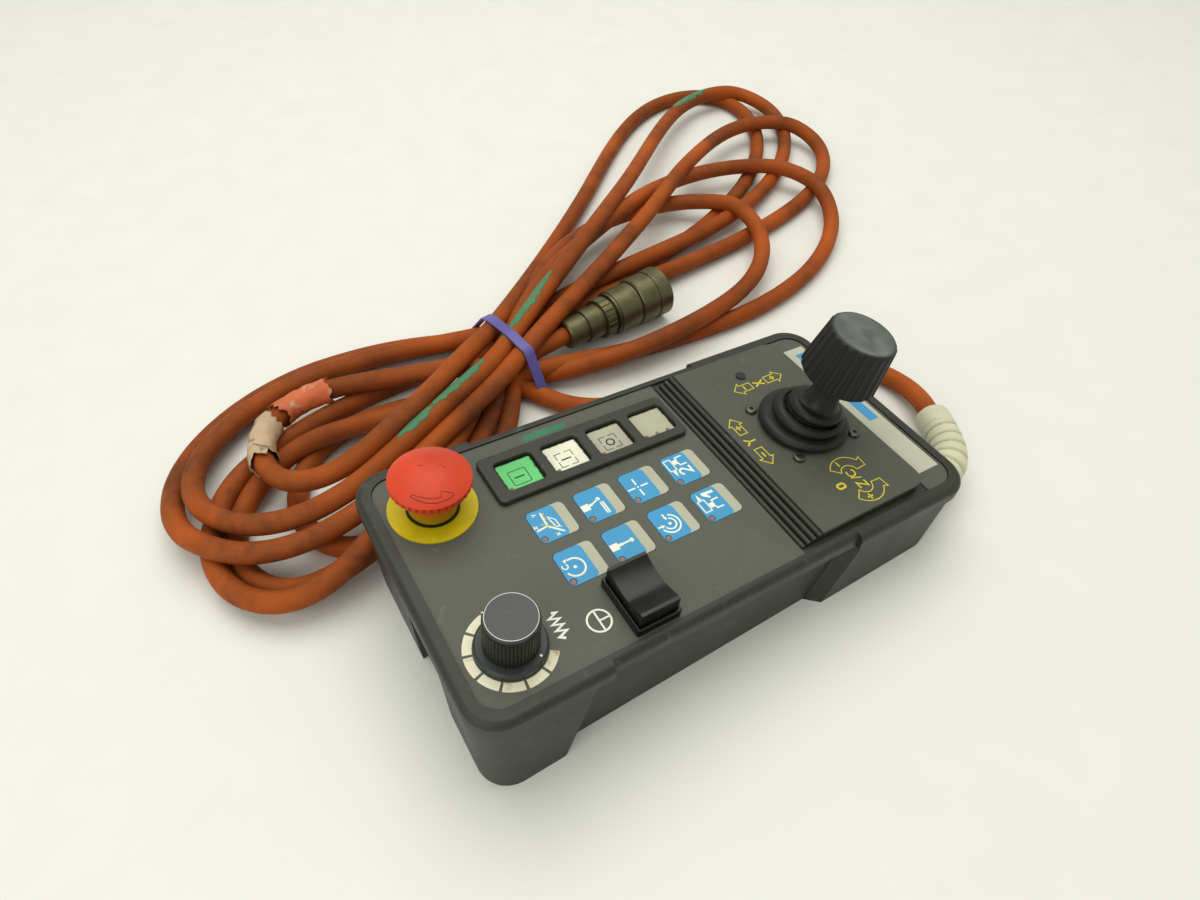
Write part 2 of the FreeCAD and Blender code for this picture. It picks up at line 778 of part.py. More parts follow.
def make_upper_frame():
    body = new_body("upper_frame")
    corner = S.rim_corner
    half = S.rim_block_half
    pad(body, -S.rim_bottom, S.rim_top, lambda sketch: rectangle(
        sketch, -S.rim_half_length, -half, -S.rim_left_step, half, (corner, 0, 0, corner)))
    pad(body, -S.rim_bottom, S.rim_top, lambda sketch: rectangle(
        sketch, S.rim_right_step, -half, S.rim_half_length, half, (0, corner, corner, 0)))
    inner_steps = (-SIZES["rim_left_step"], SIZES["rim_right_step"])
    dress(body, "Fillet", S.rim_round, lambda box: lies_at(box, S.rim_top) and not (
        box.XLength < 0.02 and any(near(box.XMin, step) for step in inner_steps)))

    def waist_section(sketch):
        rectangle(sketch, -S.rim_waist_half, -S.rim_bottom, S.rim_waist_half, S.rim_top,
                  (0, 0, S.rim_round, S.rim_round))

    overlap = S.rim_round
    pad(body, -S.rim_left_step - overlap, S.rim_right_step + overlap, waist_section, "YZ_Plane")

    cut(body, -S.rim_bottom - OVERSHOOT, -S.plate_bottom, lambda sketch: centred(
        sketch, 2 * S.lip_half_length, 2 * S.lip_half_width, S.foil_corner))
    gap = S.foil_gap
    cut(body, -S.plate_top, S.rim_top + OVERSHOOT, lambda sketch: centred(
        sketch, 2 * (S.foil_half_length + gap), 2 * (S.foil_half_width + gap), S.foil_corner))

    pad(body, -S.plate_top, S.platform_top, lambda sketch: rectangle(
        sketch, S.platform_start, -S.platform_half, S.platform_end, S.platform_half,
        (0, S.platform_corner, S.platform_corner, 0)))

    def ribs(sketch):
        radius = S.rib_width / 2
        for step in range(4):
            left = S.rib_start + step * S.rib_pitch
            top = S.rib_first_top + step * S.rib_rise
            shoulder = top - radius
            floor = -S.plate_top - S.foil_gap
            polygon(sketch, [(left, floor), (left + S.rib_width, floor), (left + S.rib_width, shoulder),
                             (left, shoulder)], {2: ((left + radius, top), "half")})

    pad_across(body, S.platform_half, ribs)
    joystick = S.flange_half + S.flange_gap
    through = (-S.rim_bottom - OVERSHOOT, S.platform_top + OVERSHOOT)
    cut(body, *through, lambda sketch: centred(
        sketch, 2 * joystick, 2 * joystick, S.flange_corner, S.stick_u))

    cut(body, -S.key_floor, S.rim_top, draw_key_openings(S.key_gap))
    cut(body, *through, lambda sketch: [
        centred(sketch, S.plunger_hole, S.plunger_hole, 0, u, v) for _, u, v, *_ in key_places()])
    cut(body, *through, draw_leds(S.led_hole, key_led_places() + status_led_places()))
    cut(body, *through, lambda sketch: circle(sketch, S.stop_hole, S.stop_u, S.stop_v))
    cut(body, *through, lambda sketch: circle(sketch, S.speed_hole, S.speed_u, S.speed_v))
    panel_gap = 2 * S.rocker_panel_gap
    cut(body, *through, lambda sketch: centred(
        sketch, S.rocker_body_length + panel_gap, S.rocker_body_width + panel_gap, 0, S.rocker_u, S.rocker_v))
    cut(body, *through, lambda sketch: circle(sketch, S.plug_stem / 2 + S.foil_gap, S.plug_u, S.plug_v))

    boss_middle = (S.rim_bottom + S.plate_bottom) / 2

    def at_bosses(radius):
        def outline(sketch):
            for x, y in case_screw_places():
                circle(sketch, radius, (x - S.shift + boss_middle * SIN) / COS, y)
        return outline

    into_plate = S.foil_gap
    pad(body, -S.rim_bottom, into_plate - S.plate_bottom, at_bosses(S.case_boss))
    cut(body, -S.rim_bottom - OVERSHOOT, -S.plate_bottom, at_bosses(S.case_pilot))

    def posts(sketch):
        for u, v in board_post_places():
            circle(sketch, S.post_radius, u, v)

    pad(body, -S.board_top, into_plate - S.plate_bottom, posts)
    on_panel(body)


def make_overlays():
    def foil(sketch):
        rectangle(sketch, -S.foil_half_length, -S.foil_half_width, S.foil_end, S.foil_half_width,
                  (S.foil_corner, 0, 0, S.foil_corner))

    body = plate("keypad_overlay", -S.foil_bottom, as_dim(0), foil)
    through = (-S.foil_bottom - OVERSHOOT, as_dim(OVERSHOOT))
    cut(body, *through, draw_key_openings(S.key_gap))
    cut(body, *through, draw_leds(S.led_hole, status_led_places()))
    cut(body, *through, lambda sketch: circle(sketch, S.stop_hole, S.stop_u, S.stop_v))
    cut(body, *through, lambda sketch: circle(sketch, S.speed_hole, S.speed_u, S.speed_v))
    cut(body, *through, lambda sketch: centred(
        sketch, S.rocker_body_length + S.foil_gap, S.rocker_body_width + S.foil_gap, 0,
        S.rocker_u, S.rocker_v))
    on_panel(body)

    end = plate("end_overlay", -S.foil_bottom, as_dim(0), lambda sketch: rectangle(
        sketch, S.strip_start, -S.foil_half_width, S.foil_half_length, S.foil_half_width,
        (0, S.foil_corner, S.foil_corner, 0)))
    on_panel(end)
    block("end_label", (S.label_start, -S.label_half, as_dim(0)), (S.label_end, S.label_half, S.label_thick))


def make_case_screws():
    body = new_body("case_screws")
    head_bottom = S.case_screw_depth - S.case_screw_head
    tip_above = S.plate_bottom

    for side, x in ((-1, -S.case_screw_left_x), (1, S.case_screw_right_x)):
        places = [place for place in case_screw_places() if place[0].value * side > 0]
        top = parting_height(x) + S.parting - tip_above - 2 * S.foil_gap

        def draw(radius, places=places):
            return lambda sketch: [circle(sketch, radius, *place) for place in places]

        pad(body, S.case_screw_depth, top, draw(S.screw_shank))
        pad(body, head_bottom, S.case_screw_depth, draw(S.case_screw_head))
        cut(body, head_bottom - OVERSHOOT, head_bottom + S.case_screw_key, lambda sketch, places=places: [
            hexagon(sketch, S.case_screw_key, *place) for place in places])


# Keys, guard and boards

def make_keys():
    for name, u, v, length, width, top in key_places():
        body = plate(name, -S.foil_bottom, top, lambda sketch: centred(sketch, length, width, S.key_corner))
        pad(body, -S.plunger_bottom, -S.foil_bottom, lambda sketch: centred(sketch, S.plunger, S.plunger))
        if name.startswith("key"):
            cut(body, -S.foil_bottom - OVERSHOOT, top + OVERSHOOT,
                lambda sketch: circle(sketch, S.led_hole, S.key_led_u, S.key_led_v))
        on_panel(body, u, v)


def make_key_guard():
    body = plate("key_guard", as_dim(0), S.guard_top, lambda sketch: centred(
        sketch, S.guard_length, S.guard_width, S.guard_corner))

    def windows(sketch):
        for column in range(4):
            u = S.guarded_start + column * S.guarded_pitch - S.guard_u
            centred(sketch, S.window_length, S.window_width, S.key_corner, u)

    cut(body, as_dim(-OVERSHOOT), S.guard_top + OVERSHOOT, windows)
    dress(body, "Fillet", S.guard_round, lambda box: lies_at(box, S.guard_top))
    on_panel(body, S.guard_u, S.guard_v)

    window = plate("status_window", as_dim(0), S.guarded_top, lambda sketch: centred(
        sketch, S.window_length - 2 * S.key_gap, S.window_width - 2 * S.key_gap, S.key_corner))
    on_panel(window, S.guarded_start + 3 * S.guarded_pitch, S.guard_v)


def make_boards():
    lenses = plate("led_lenses", -S.board_top, as_dim(0), draw_leds(
        S.led_radius, key_led_places() + status_led_places()))
    on_panel(lenses)

    def domes(sketch):
        for _, u, v, *_ in key_places():
            circle(sketch, S.dome_radius, u, v)

    on_panel(plate("key_domes", -S.board_top, S.dome_height - S.board_top, domes))
    block("keypad_board", (S.keyboard_left, S.keyboard_near, -S.board_top - S.board_thick),
          (S.keyboard_right, S.keyboard_far, -S.board_top))

    corners = [(x, y) for x in (S.main_left + S.main_inset, S.main_right - S.main_inset)
               for y in (S.main_inset - S.main_half, S.main_half - S.main_inset)]

    def at_corners(radius):
        return lambda sketch: [circle(sketch, radius, *corner) for corner in corners]

    board = plate("main_board", S.main_bottom, S.main_bottom + S.board_thick, lambda sketch: rectangle(
        sketch, S.main_left, -S.main_half, S.main_right, S.main_half))
    cut(board, as_dim(0), S.main_bottom + OVERSHOOT, at_corners(S.screw_hole))
    standoffs = plate("board_standoffs", S.wall, S.main_bottom, at_corners(S.standoff))
    cut(standoffs, S.wall, S.main_bottom, at_corners(S.screw_hole))
    head_bottom = S.main_bottom + S.board_thick
    screws = plate("board_screws", head_bottom, head_bottom + S.screw_head_high, at_corners(S.screw_head))
    pad(screws, S.wall + 1, head_bottom, at_corners(S.screw_shank))


# Emergency stop

def make_emergency_stop():
    def at_stop(body):
        on_panel(body, S.stop_u, S.stop_v)

    at_stop(disc("stop_disc", S.stop_disc, as_dim(0), S.stop_disc_top, S.stop_hole))
    at_stop(disc("stop_seal", S.stop_seal, S.stop_disc_top, S.stop_seal_top, S.stop_hole))

    body = new_body("stop_body")
    revolve(body, lambda sketch: polygon(sketch, [
        (S.stop_guide, -S.stop_barrel_end), (S.stop_barrel, -S.stop_barrel_end),
        (S.stop_barrel, S.stop_collar_top), (S.stop_bore, S.stop_collar_top),
        (S.stop_bore, S.stop_guide_top), (S.stop_guide, S.stop_guide_top)]))
    at_stop(body)

    nut = plate("stop_nut", -S.plate_bottom - S.stop_nut_thick, -S.plate_bottom,
                lambda sketch: [hexagon(sketch, S.stop_nut), circle(sketch, S.stop_hole)])
    at_stop(nut)
    block("stop_contact_block",
          (S.stop_u - S.stop_block_u / 2, S.stop_v - S.stop_block_v / 2, -S.stop_block_end),
          (S.stop_u + S.stop_block_u / 2, S.stop_v + S.stop_block_v / 2, -S.stop_block_top))
    at_stop(disc("stop_stem", S.stop_stem, -S.stop_stem_end, S.stop_stem_top))

    head = new_body("stop_head")
    bore = S.stop_guide
    bore_top = S.stop_stem_top + 2 * S.foil_gap
    bevel = S.stop_serration
    dome_mid = (0.6 * S.stop_head, S.stop_skirt_top + 0.66 * (S.stop_dome_top - S.stop_skirt_top))
    revolve(head, lambda sketch: polygon(sketch, [
        (bore, S.stop_hub_end), (S.stop_hub, S.stop_hub_end), (S.stop_hub, S.stop_skirt_top),
        (S.stop_skirt_inner, S.stop_skirt_top), (S.stop_skirt_inner, S.stop_skirt_end),
        (S.stop_head - bevel, S.stop_skirt_end), (S.stop_head, S.stop_skirt_end + bevel),
        (S.stop_head, S.stop_skirt_top), (0, S.stop_dome_top), (0, bore_top), (bore, bore_top)],
        {7: (dome_mid, "axis")}))
    serration = cut(head, S.stop_skirt_end - OVERSHOOT, S.stop_skirt_top,
                    lambda sketch: vee(sketch, S.stop_head, S.stop_serration))
    repeat_around(head, serration, S.stop_serrations)
    at_stop(head)


# Speed knob

def make_speed_knob():
    def at_speed(body):
        on_panel(body, S.speed_u, S.speed_v)

    pot = new_body("speed_pot")
    revolve(pot, lambda sketch: polygon(sketch, [
        (0, -S.pot_end), (S.pot_radius, -S.pot_end), (S.pot_radius, -S.pot_top), (S.bushing, -S.pot_top),
        (S.bushing, S.bushing_top), (S.speed_shaft + S.pin_fit, S.bushing_top),
        (S.speed_shaft + S.pin_fit, -S.pot_top), (0, -S.pot_top)]))
    at_speed(pot)
    at_speed(disc("speed_shaft", S.speed_shaft, S.pin_fit - S.pot_top, S.shaft_top))

    hollow = S.knob_hollow
    skirt = disc("speed_skirt", S.skirt_radius, S.skirt_bottom, S.skirt_top, hollow)
    dress(skirt, "Chamfer", S.skirt_bottom, lambda box: lies_at(box, S.skirt_top) and box.XLength > 20)
    at_speed(skirt)

    knob = new_body("speed_knob")
    revolve(knob, lambda sketch: polygon(sketch, [
        (S.speed_shaft, S.knob_hollow_top), (hollow, S.knob_hollow_top), (hollow, S.skirt_top),
        (S.knob_radius, S.skirt_top), (S.knob_radius, S.knob_top), (0, S.knob_top), (0, S.shaft_top),
        (S.speed_shaft, S.shaft_top)]))
    groove = cut(knob, S.skirt_top + 2 * S.knob_groove, S.knob_top + OVERSHOOT,
                 lambda sketch: vee(sketch, S.knob_radius, S.knob_groove))
    repeat_around(knob, groove, S.knob_grooves)
    at_speed(knob)

    cap = disc("speed_cap", S.cap_radius, S.knob_top, S.cap_top)
    dress(cap, "Fillet", S.skirt_bottom, lambda box: lies_at(box, S.cap_top))
    at_speed(cap)


# Rocker switch

def make_rocker():
    def at_rocker(body):
        on_panel(body, S.rocker_u, S.rocker_v)

    housing = plate("rocker_housing", as_dim(0), S.rocker_frame_top, lambda sketch: centred(
        sketch, S.rocker_length, S.rocker_width, S.rocker_corner))
    pad(housing, -S.rocker_body_end, as_dim(0), lambda sketch: centred(
        sketch, S.rocker_body_length, S.rocker_body_width))
    cut(housing, as_dim(0), S.rocker_frame_top + OVERSHOOT, lambda sketch: centred(
        sketch, S.rocker_opening_length, S.rocker_opening_width))
    dress(housing, "Fillet", S.rocker_corner / 2, lambda box: lies_at(box, S.rocker_frame_top) and max(
        abs(box.XMin), abs(box.YMin), abs(box.XMax), abs(box.YMax)) > 13.5)
    pad(housing, -S.rocker_opening_length / 2, S.rocker_opening_length / 2,
        lambda sketch: circle(sketch, S.rocker_pin, 0, S.rocker_axis), "YZ_Plane")
    at_rocker(housing)

    cap = new_body("rocker_cap")
    half = S.rocker_cap_half
    inner = half - S.rocker_flange
    dish_depth = S.rocker_dish.value - math.sqrt(S.rocker_dish.value ** 2 - inner.value ** 2)
    dish_mid = S.rocker_cap_top - dish_depth
    pad_across(cap, S.rocker_cap_length / 2, lambda sketch: polygon(sketch, [
        (-S.rocker_stem_half, S.rocker_stem_end), (S.rocker_stem_half, S.rocker_stem_end),
        (S.rocker_stem_half, S.rocker_cap_under), (half, S.rocker_cap_under), (half, S.rocker_cap_top),
        (inner, S.rocker_cap_top), (-inner, S.rocker_cap_top), (-half, S.rocker_cap_top),
        (-half, S.rocker_cap_under), (-S.rocker_stem_half, S.rocker_cap_under)],
        {5: ((0, dish_mid), S.rocker_dish)}), "YZ_Plane")
    cut_across(cap, S.rocker_length,
               lambda sketch: circle(sketch, S.rocker_pin + S.pin_fit, 0, S.rocker_axis), "YZ_Plane")
    at_rocker(cap)

    def blades(sketch):
        for step in (-1, 0, 1):
            centred(sketch, S.blade_width, S.blade_length, 0, 0, step * S.blade_pitch)

    at_rocker(plate("rocker_blades", -S.blade_end, -S.rocker_body_end, blades))


# Joystick

def joystick_screw_places():
    return [(x * S.screw_half, y * S.screw_half) for x in (-1, 1) for y in (-1, 1)]


def at_joystick_screws(radius):
    return lambda sketch: [circle(sketch, radius, *place) for place in joystick_screw_places()]


def make_joystick_plate():
    top = S.platform_top + S.cover_thick
    body = plate("joystick_plate", S.platform_top, top, lambda sketch: rectangle(
        sketch, S.platform_start - S.stick_u, -S.platform_half, S.platform_end - S.stick_u, S.platform_half,
        (0, S.platform_corner, S.platform_corner, 0)))
    through = (S.platform_top - OVERSHOOT, top + OVERSHOOT)
    cut(body, *through, lambda sketch: circle(sketch, S.cover_hole / 2))
    cut(body, *through, at_joystick_screws(S.screw_hole))
    cut(body, *through, lambda sketch: circle(
        sketch, S.plug_stem / 2 + S.foil_gap, S.plug_u - S.stick_u, S.plug_v))
    dress(body, "Chamfer", S.cover_thick / 4, lambda box: lies_at(box, top) and (
        near(abs(box.YMin), S.platform_half) or near(abs(box.YMax), S.platform_half)
        or near(box.XMax, S.platform_end - S.stick_u)))
    on_panel(body, S.stick_u, S.stick_v)

    plug = disc("plate_plug", S.plug_head / 2, top, top + S.rim_top)
    pad(plug, -S.plate_top, top, lambda sketch: circle(sketch, S.plug_stem / 2))
    on_panel(plug, S.plug_u, S.plug_v)

    screws = plate("boot_screws", top, top + S.screw_head_high, at_joystick_screws(S.screw_head))
    dress(screws, "Fillet", S.screw_head_high / 2, lambda box: lies_at(box, top + S.screw_head_high))
    pad(screws, S.platform_top - S.flange_thick, top, at_joystick_screws(S.screw_shank))
    cut(screws, top + S.screw_head_high / 2, top + S.screw_head_high + 1, lambda sketch: [
        hexagon(sketch, S.screw_shank * 0.7, *place) for place in joystick_screw_places()])
    on_panel(screws, S.stick_u, S.stick_v)


def make_joystick():
    flange_bottom = S.platform_top - S.flange_thick
    housing = plate("joystick_housing", flange_bottom, S.platform_top, lambda sketch: centred(
        sketch, 2 * S.flange_half, 2 * S.flange_half, S.flange_corner))
    pad(housing, -S.cup_end, flange_bottom, lambda sketch: circle(sketch, S.cup_outer))
    cut(housing, S.cup_floor - S.cup_end, S.platform_top + OVERSHOOT,
        lambda sketch: circle(sketch, S.cup_inner))
    cut(housing, flange_bottom - OVERSHOOT, S.platform_top, at_joystick_screws(S.screw_hole))
    cut_across(housing, S.flange_half, lambda sketch: circle(
        sketch, S.pin_radius + S.pin_fit, 0, -S.pivot_depth))
    on_panel(housing, S.stick_u, S.stick_v)

    ring = disc("gimbal_ring", S.gimbal_outer, -S.gimbal_half, S.gimbal_half, S.gimbal_inner)
    cut_across(ring, S.flange_half, lambda sketch: circle(sketch, S.pin_radius + S.pin_fit), "YZ_Plane")
    pad_across(ring, S.gimbal_pin_reach, lambda sketch: circle(sketch, S.pin_radius))
    cut(ring, -S.gimbal_half - OVERSHOOT, S.gimbal_half + OVERSHOOT,
        lambda sketch: circle(sketch, S.gimbal_inner))
    on_panel(ring, S.stick_u, S.stick_v, -S.pivot_depth, (Y_AXIS, S.lean_along))

    def on_stick(body):
        on_panel(body, S.stick_u, S.stick_v, -S.pivot_depth, (Y_AXIS, S.lean_along), (X_AXIS, S.lean_across))

    stick = disc("joystick_stick", S.stick_radius, -S.stick_end, S.stick_top)
    pad_across(stick, S.stick_pin_reach, lambda sketch: circle(sketch, S.pin_radius), "YZ_Plane")
    pad(stick, -S.stick_end, S.stick_radius - S.stick_end, lambda sketch: circle(sketch, S.stick_ball))
    on_stick(stick)

    grip = new_body("joystick_grip")
    edge = S.grip_edge
    low = S.grip_low_radius
    high = S.grip_high_radius
    dish_edge = high - 2 * edge
    bore_top = S.stick_top + S.foil_gap
    dish_mid = (0.5 * dish_edge, S.grip_top - 0.8 * S.grip_dish)
    revolve(grip, lambda sketch: polygon(sketch, [
        (S.grip_bore, S.grip_bottom), (low - edge, S.grip_bottom), (low, S.grip_bottom + edge),
        (high, S.grip_top - edge), (high - edge, S.grip_top), (dish_edge, S.grip_top),
        (0, S.grip_top - S.grip_dish), (0, bore_top), (S.grip_bore, bore_top)], {5: (dish_mid, "axis")}))
    lower = new_sketch(grip, "XY_Plane", S.grip_bottom - 1)
    circle(lower, S.flute_low, low + S.flute_out)
    upper = new_sketch(grip, "XY_Plane", S.grip_top + 1)
    circle(upper, S.flute_high, high + S.flute_out)
    flute = grip.newObject("PartDesign::SubtractiveLoft", "flute")
    flute.Profile = lower
    flute.Sections = [upper]
    flute.Ruled = True
    DOCUMENT.recompute()
    repeat_around(grip, flute, S.grip_flutes)
    on_stick(grip)

    boot_low = new_body("boot_lower")
    outer = S.boot_low_radius
    base = S.platform_top + S.cover_thick + S.pin_fit
    wall = S.boot_wall
    revolve(boot_low, lambda sketch: polygon(sketch, [
        (outer - wall, base), (outer, base), (outer, S.boot_low_top - wall),
        (outer - wall / 2, S.boot_low_top), (outer - wall, S.boot_low_top)]))
    on_panel(boot_low, S.stick_u, S.stick_v)

    boot_high = new_body("boot_upper")
    mid = S.boot_mid_radius
    top = S.boot_high_radius
    neck = S.boot_neck_low
    revolve(boot_high, lambda sketch: polygon(sketch, [
        (mid - wall, S.boot_mid_bottom), (mid, S.boot_mid_bottom), (mid, S.boot_mid_top - wall),
        (mid - wall, S.boot_mid_top), (top, S.boot_mid_top), (top, S.boot_high_top - wall),
        (top - wall, S.boot_high_top), (neck, S.boot_high_top), (S.boot_neck_high, S.boot_neck_top),
        (S.boot_neck_high, S.boot_end), (S.boot_bore, S.boot_end), (S.boot_bore, S.boot_neck_top - 0.4),
        (neck - wall, S.boot_high_top - wall), (top - wall, S.boot_high_top - wall),
        (top - wall, S.boot_mid_top - wall), (mid - wall, S.boot_mid_top - wall)]))
    on_stick(boot_high)


# Cable

def rounded_run(points, closed=False):
    """Straight runs joined by tangent arcs, each as large as its two runs allow."""
    places = [FreeCAD.Vector(*point) for point in points]
    count = len(places)
    edges = []
    radii = []
    inner = range(count) if closed else range(1, count - 1)
    arcs = {}
    for index in inner:
        corner = places[index]
        before = places[index - 1] - corner
        after = places[(index + 1) % count] - corner
        shorter = min(before.Length, after.Length)
        half_turn = (math.pi - before.getAngle(after)) / 2
        radius = 0.45 * shorter / math.tan(half_turn)
        reach = 0.45 * shorter
        begin = corner + before.normalize() * reach
        finish = corner + after.normalize() * reach
        inward = (before + after).normalize()
        middle = corner + inward * (radius / math.cos(half_turn) - radius)
        arcs[index] = (begin, middle, finish)
        radii.append(radius)
    for index in range(count if closed else count - 1):
        following = (index + 1) % count
        begin = arcs[index][2] if index in arcs else places[index]
        finish = arcs[following][0] if following in arcs else places[following]
        edges.append(Part.LineSegment(begin, finish).toShape())
        if following in arcs:
            edges.append(Part.Arc(*arcs[following]).toShape())
    return Part.Wire(edges), radii


def add_solid(label, shape):
    feature = DOCUMENT.addObject("Part::Feature", label)
    feature.Label = label
    feature.Shape = shape
    PARTS.append(feature)
    return feature


def tube(label, route, radius):
    wire, radii = rounded_run(route)
    start = FreeCAD.Vector(*route[0])
    heading = FreeCAD.Vector(*route[1]) - start
    section = Part.Wire(Part.Circle(start, heading, radius).toShape())
    solid = wire.makePipeShell([section], True, True)
    expected = math.pi * radius ** 2 * wire.Length
    print(label, "length", round(wire.Length, 1), "radii", [round(r) for r in radii],
          "volume ratio", round(solid.Volume / expected, 4))
    if abs(solid.Volume / expected - 1) > 0.01:
        raise ValueError(f"{label} has the wrong volume")
    return solid, wire


def make_cable_exit():
    gland = new_body("cable_gland")
    thread_end = -S.gland_reach
    revolve(gland, lambda sketch: polygon(sketch, [
        (0, thread_end), (S.gland_thread, thread_end), (S.gland_thread, 0), (S.gland_flange, 0),
        (S.gland_flange, S.gland_flange_thick), (0, S.gland_flange_thick)]))
    put(gland, S.gland_face, S.gland_y, S.gland_z, turned((Y_AXIS, 90)))

    core, wire = tube("strain_relief", RELIEF_ROUTE, SIZES["relief_radius"])
    turns = int(SIZES["relief_turns"])
    rise = SIZES["relief_turn"]
    widths = [2 * rise] * (turns - 1) + [SIZES["relief_sleeve"]]
    spread = wire.discretize(Number=2 * turns + 1)
    for count, width in enumerate(widths):
        middle = 2 * count + 1
        heading = (spread[middle + 1] - spread[middle - 1]).normalize()
        foot = spread[middle] - heading * width / 2
        turn = Part.makeCylinder(SIZES["relief_radius"] + rise, width, foot, heading)
        rims = [edge for edge in turn.Edges if isinstance(edge.Curve, Part.Circle)]
        core = core.fuse(turn.makeFillet(0.87 * rise, rims))
    flange_front = SIZES["gland_face"] + SIZES["gland_flange_thick"]
    behind = 4 * SIZES["relief_radius"]
    corner = FreeCAD.Vector(
        flange_front - behind, SIZES["gland_y"] - behind / 2, SIZES["gland_z"] - behind / 2)
    core = core.cut(Part.makeBox(behind, behind, behind, corner)).removeSplitter()
    add_solid("strain_relief", core)


def flat_prism(edges, low, high):
    """A slab with one outer edge and any number of holes, from their corner points."""
    wires = [rounded_run([(x, y, low) for x, y in edge], closed=True)[0] for edge in edges]
    solid = Part.Face(wires[0]).extrude(FreeCAD.Vector(0, 0, high - low))
    for hole in wires[1:]:
        solid = solid.cut(Part.Face(hole).extrude(FreeCAD.Vector(0, 0, high - low)))
    return solid


def make_cable():
    radius = SIZES["cable"] / 2
    add_solid("cable_lead", tube("cable_lead", LEAD_ROUTE, radius)[0])
    add_solid("cable_tail", tube("cable_tail", TAIL_ROUTE, radius)[0])
    hank = flat_prism([HANK_EDGE, LEFT_LOBE, RIGHT_LOBE], SIZES["hank_bottom"], SIZES["hank_top"])
    neck = Part.makeBox(SIZES["tie_length"] + 20, SIZES["neck_length"], SIZES["hank_top"])
    neck.translate(FreeCAD.Vector(-SIZES["tie_length"] / 2 - 10, -SIZES["neck_length"] / 2, 0))
    neck.rotate(FreeCAD.Vector(), Z_AXIS, SIZES["tie_angle"])
    neck.translate(FreeCAD.Vector(SIZES["tie_x"], SIZES["tie_y"], SIZES["tie_top"] - SIZES["tie_thick"]))
    add_solid("cable_hank", hank.cut(neck))

    tie = plate("cable_tie", as_dim(0), S.tie_top, lambda sketch: centred(sketch, S.tie_length, S.tie_width))
    thick = S.tie_thick
    cut_across(tie, S.tie_width, lambda sketch: rectangle(
        sketch, thick - S.tie_length / 2, thick, S.tie_length / 2 - thick, S.tie_top - thick))
    put(tie, S.tie_x, S.tie_y, as_dim(0), turned((Z_AXIS, S.tie_angle)))


def make_connector():
    heading = turned((Z_AXIS, S.plug_angle), (Y_AXIS, 90))

    def at_plug(body):
        put(body, S.plug_back_x, S.plug_back_y, S.plug_z, heading)

    clamp = disc("connector_clamp", S.clamp_radius, as_dim(0), S.clamp_length)
    dress(clamp, "Chamfer", S.contact_radius, lambda box: lies_at(box, 0))
    at_plug(clamp)

    shell = new_body("connector_shell")
    revolve(shell, lambda sketch: polygon(sketch, [
        (0, S.clamp_length), (S.sleeve_radius, S.clamp_length), (S.sleeve_radius, S.sleeve_end),
        (S.nut_radius, S.sleeve_end), (S.nut_radius, S.nut_end), (S.neck_radius, S.nut_end),
        (S.neck_radius, S.neck_end), (S.shell_rim, S.neck_end), (S.shell_rim, S.shell_start),
        (S.shell_radius, S.shell_start), (S.shell_radius, S.shell_end), (0, S.shell_end)]))
    groove = cut(shell, S.sleeve_end, S.nut_end, lambda sketch: vee(sketch, S.nut_radius, S.nut_groove))
    repeat_around(shell, groove, S.nut_grooves)
    at_plug(shell)
    at_plug(disc("connector_barrel", S.barrel_radius, S.shell_end, S.plug_length - S.barrel_setback,
                 S.insert_radius))

    ring = new_body("connector_ring")
    inner = S.barrel_radius + S.foil_gap
    bevel = S.ring_bevel
    revolve(ring, lambda sketch: polygon(sketch, [
        (inner, S.ring_start), (S.ring_back_radius - bevel, S.ring_start),
        (S.ring_back_radius, S.ring_start + bevel), (S.ring_back_radius, S.ring_step),
        (S.ring_radius, S.ring_step), (S.ring_radius, S.plug_length - bevel),
        (S.ring_radius - bevel, S.plug_length), (inner, S.plug_length)]))
    hole = cut(ring, S.ring_radius - S.ring_hole_depth, S.ring_radius + OVERSHOOT, lambda sketch: circle(
        sketch, S.ring_hole, 0, S.plug_length - S.ring_hole_back), "YZ_Plane")
    repeat_around(ring, hole, S.ring_holes)
    at_plug(ring)

    insert = disc("connector_insert", S.insert_radius - S.pin_fit, S.shell_end,
                  S.plug_length - S.insert_setback)

    def sockets(sketch):
        circle(sketch, S.contact_radius)
        for ring_count, reach in ((6, 0.38), (12, 0.75)):
            for step in range(ring_count):
                angle = 2 * math.pi * step / ring_count
                distance = reach * S.insert_radius
                circle(sketch, S.contact_radius, math.cos(angle) * distance, math.sin(angle) * distance)

    cut(insert, S.plug_length - 2 * S.insert_setback, S.plug_length, sockets)
    at_plug(insert)


def write_parts():
    DOCUMENT.recompute()
    for item in DOCUMENT.Objects:
        if "Invalid" in item.State or "Error" in item.State:
            raise ValueError(f"{item.Name} failed: {item.State}")
    for part in PARTS:
        if part.Shape.isNull() or not part.Shape.isValid():
            raise ValueError(f"{part.Label} has no valid shape")
    os.makedirs("parts", exist_ok=True)
    for part in PARTS:
        part.Shape.exportStep(f"parts/{part.Label}.step")
    print(len(PARTS), "parts written")


fill_sheet()
make_lower_shell()
make_upper_frame()
make_overlays()
make_case_screws()
make_keys()
make_key_guard()
make_boards()
make_emergency_stop()
make_speed_knob()
make_rocker()
make_joystick_plate()
make_joystick()
make_cable_exit()
make_cable()
make_connector()
write_parts()
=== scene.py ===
"""Looks of a measuring machine's hand controller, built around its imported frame, in metres."""

import json
import math
import random
from bisect import bisect

import bpy
import numpy as np
from mathutils import Matrix, Quaternion, Vector
from mathutils.bvhtree import BVHTree


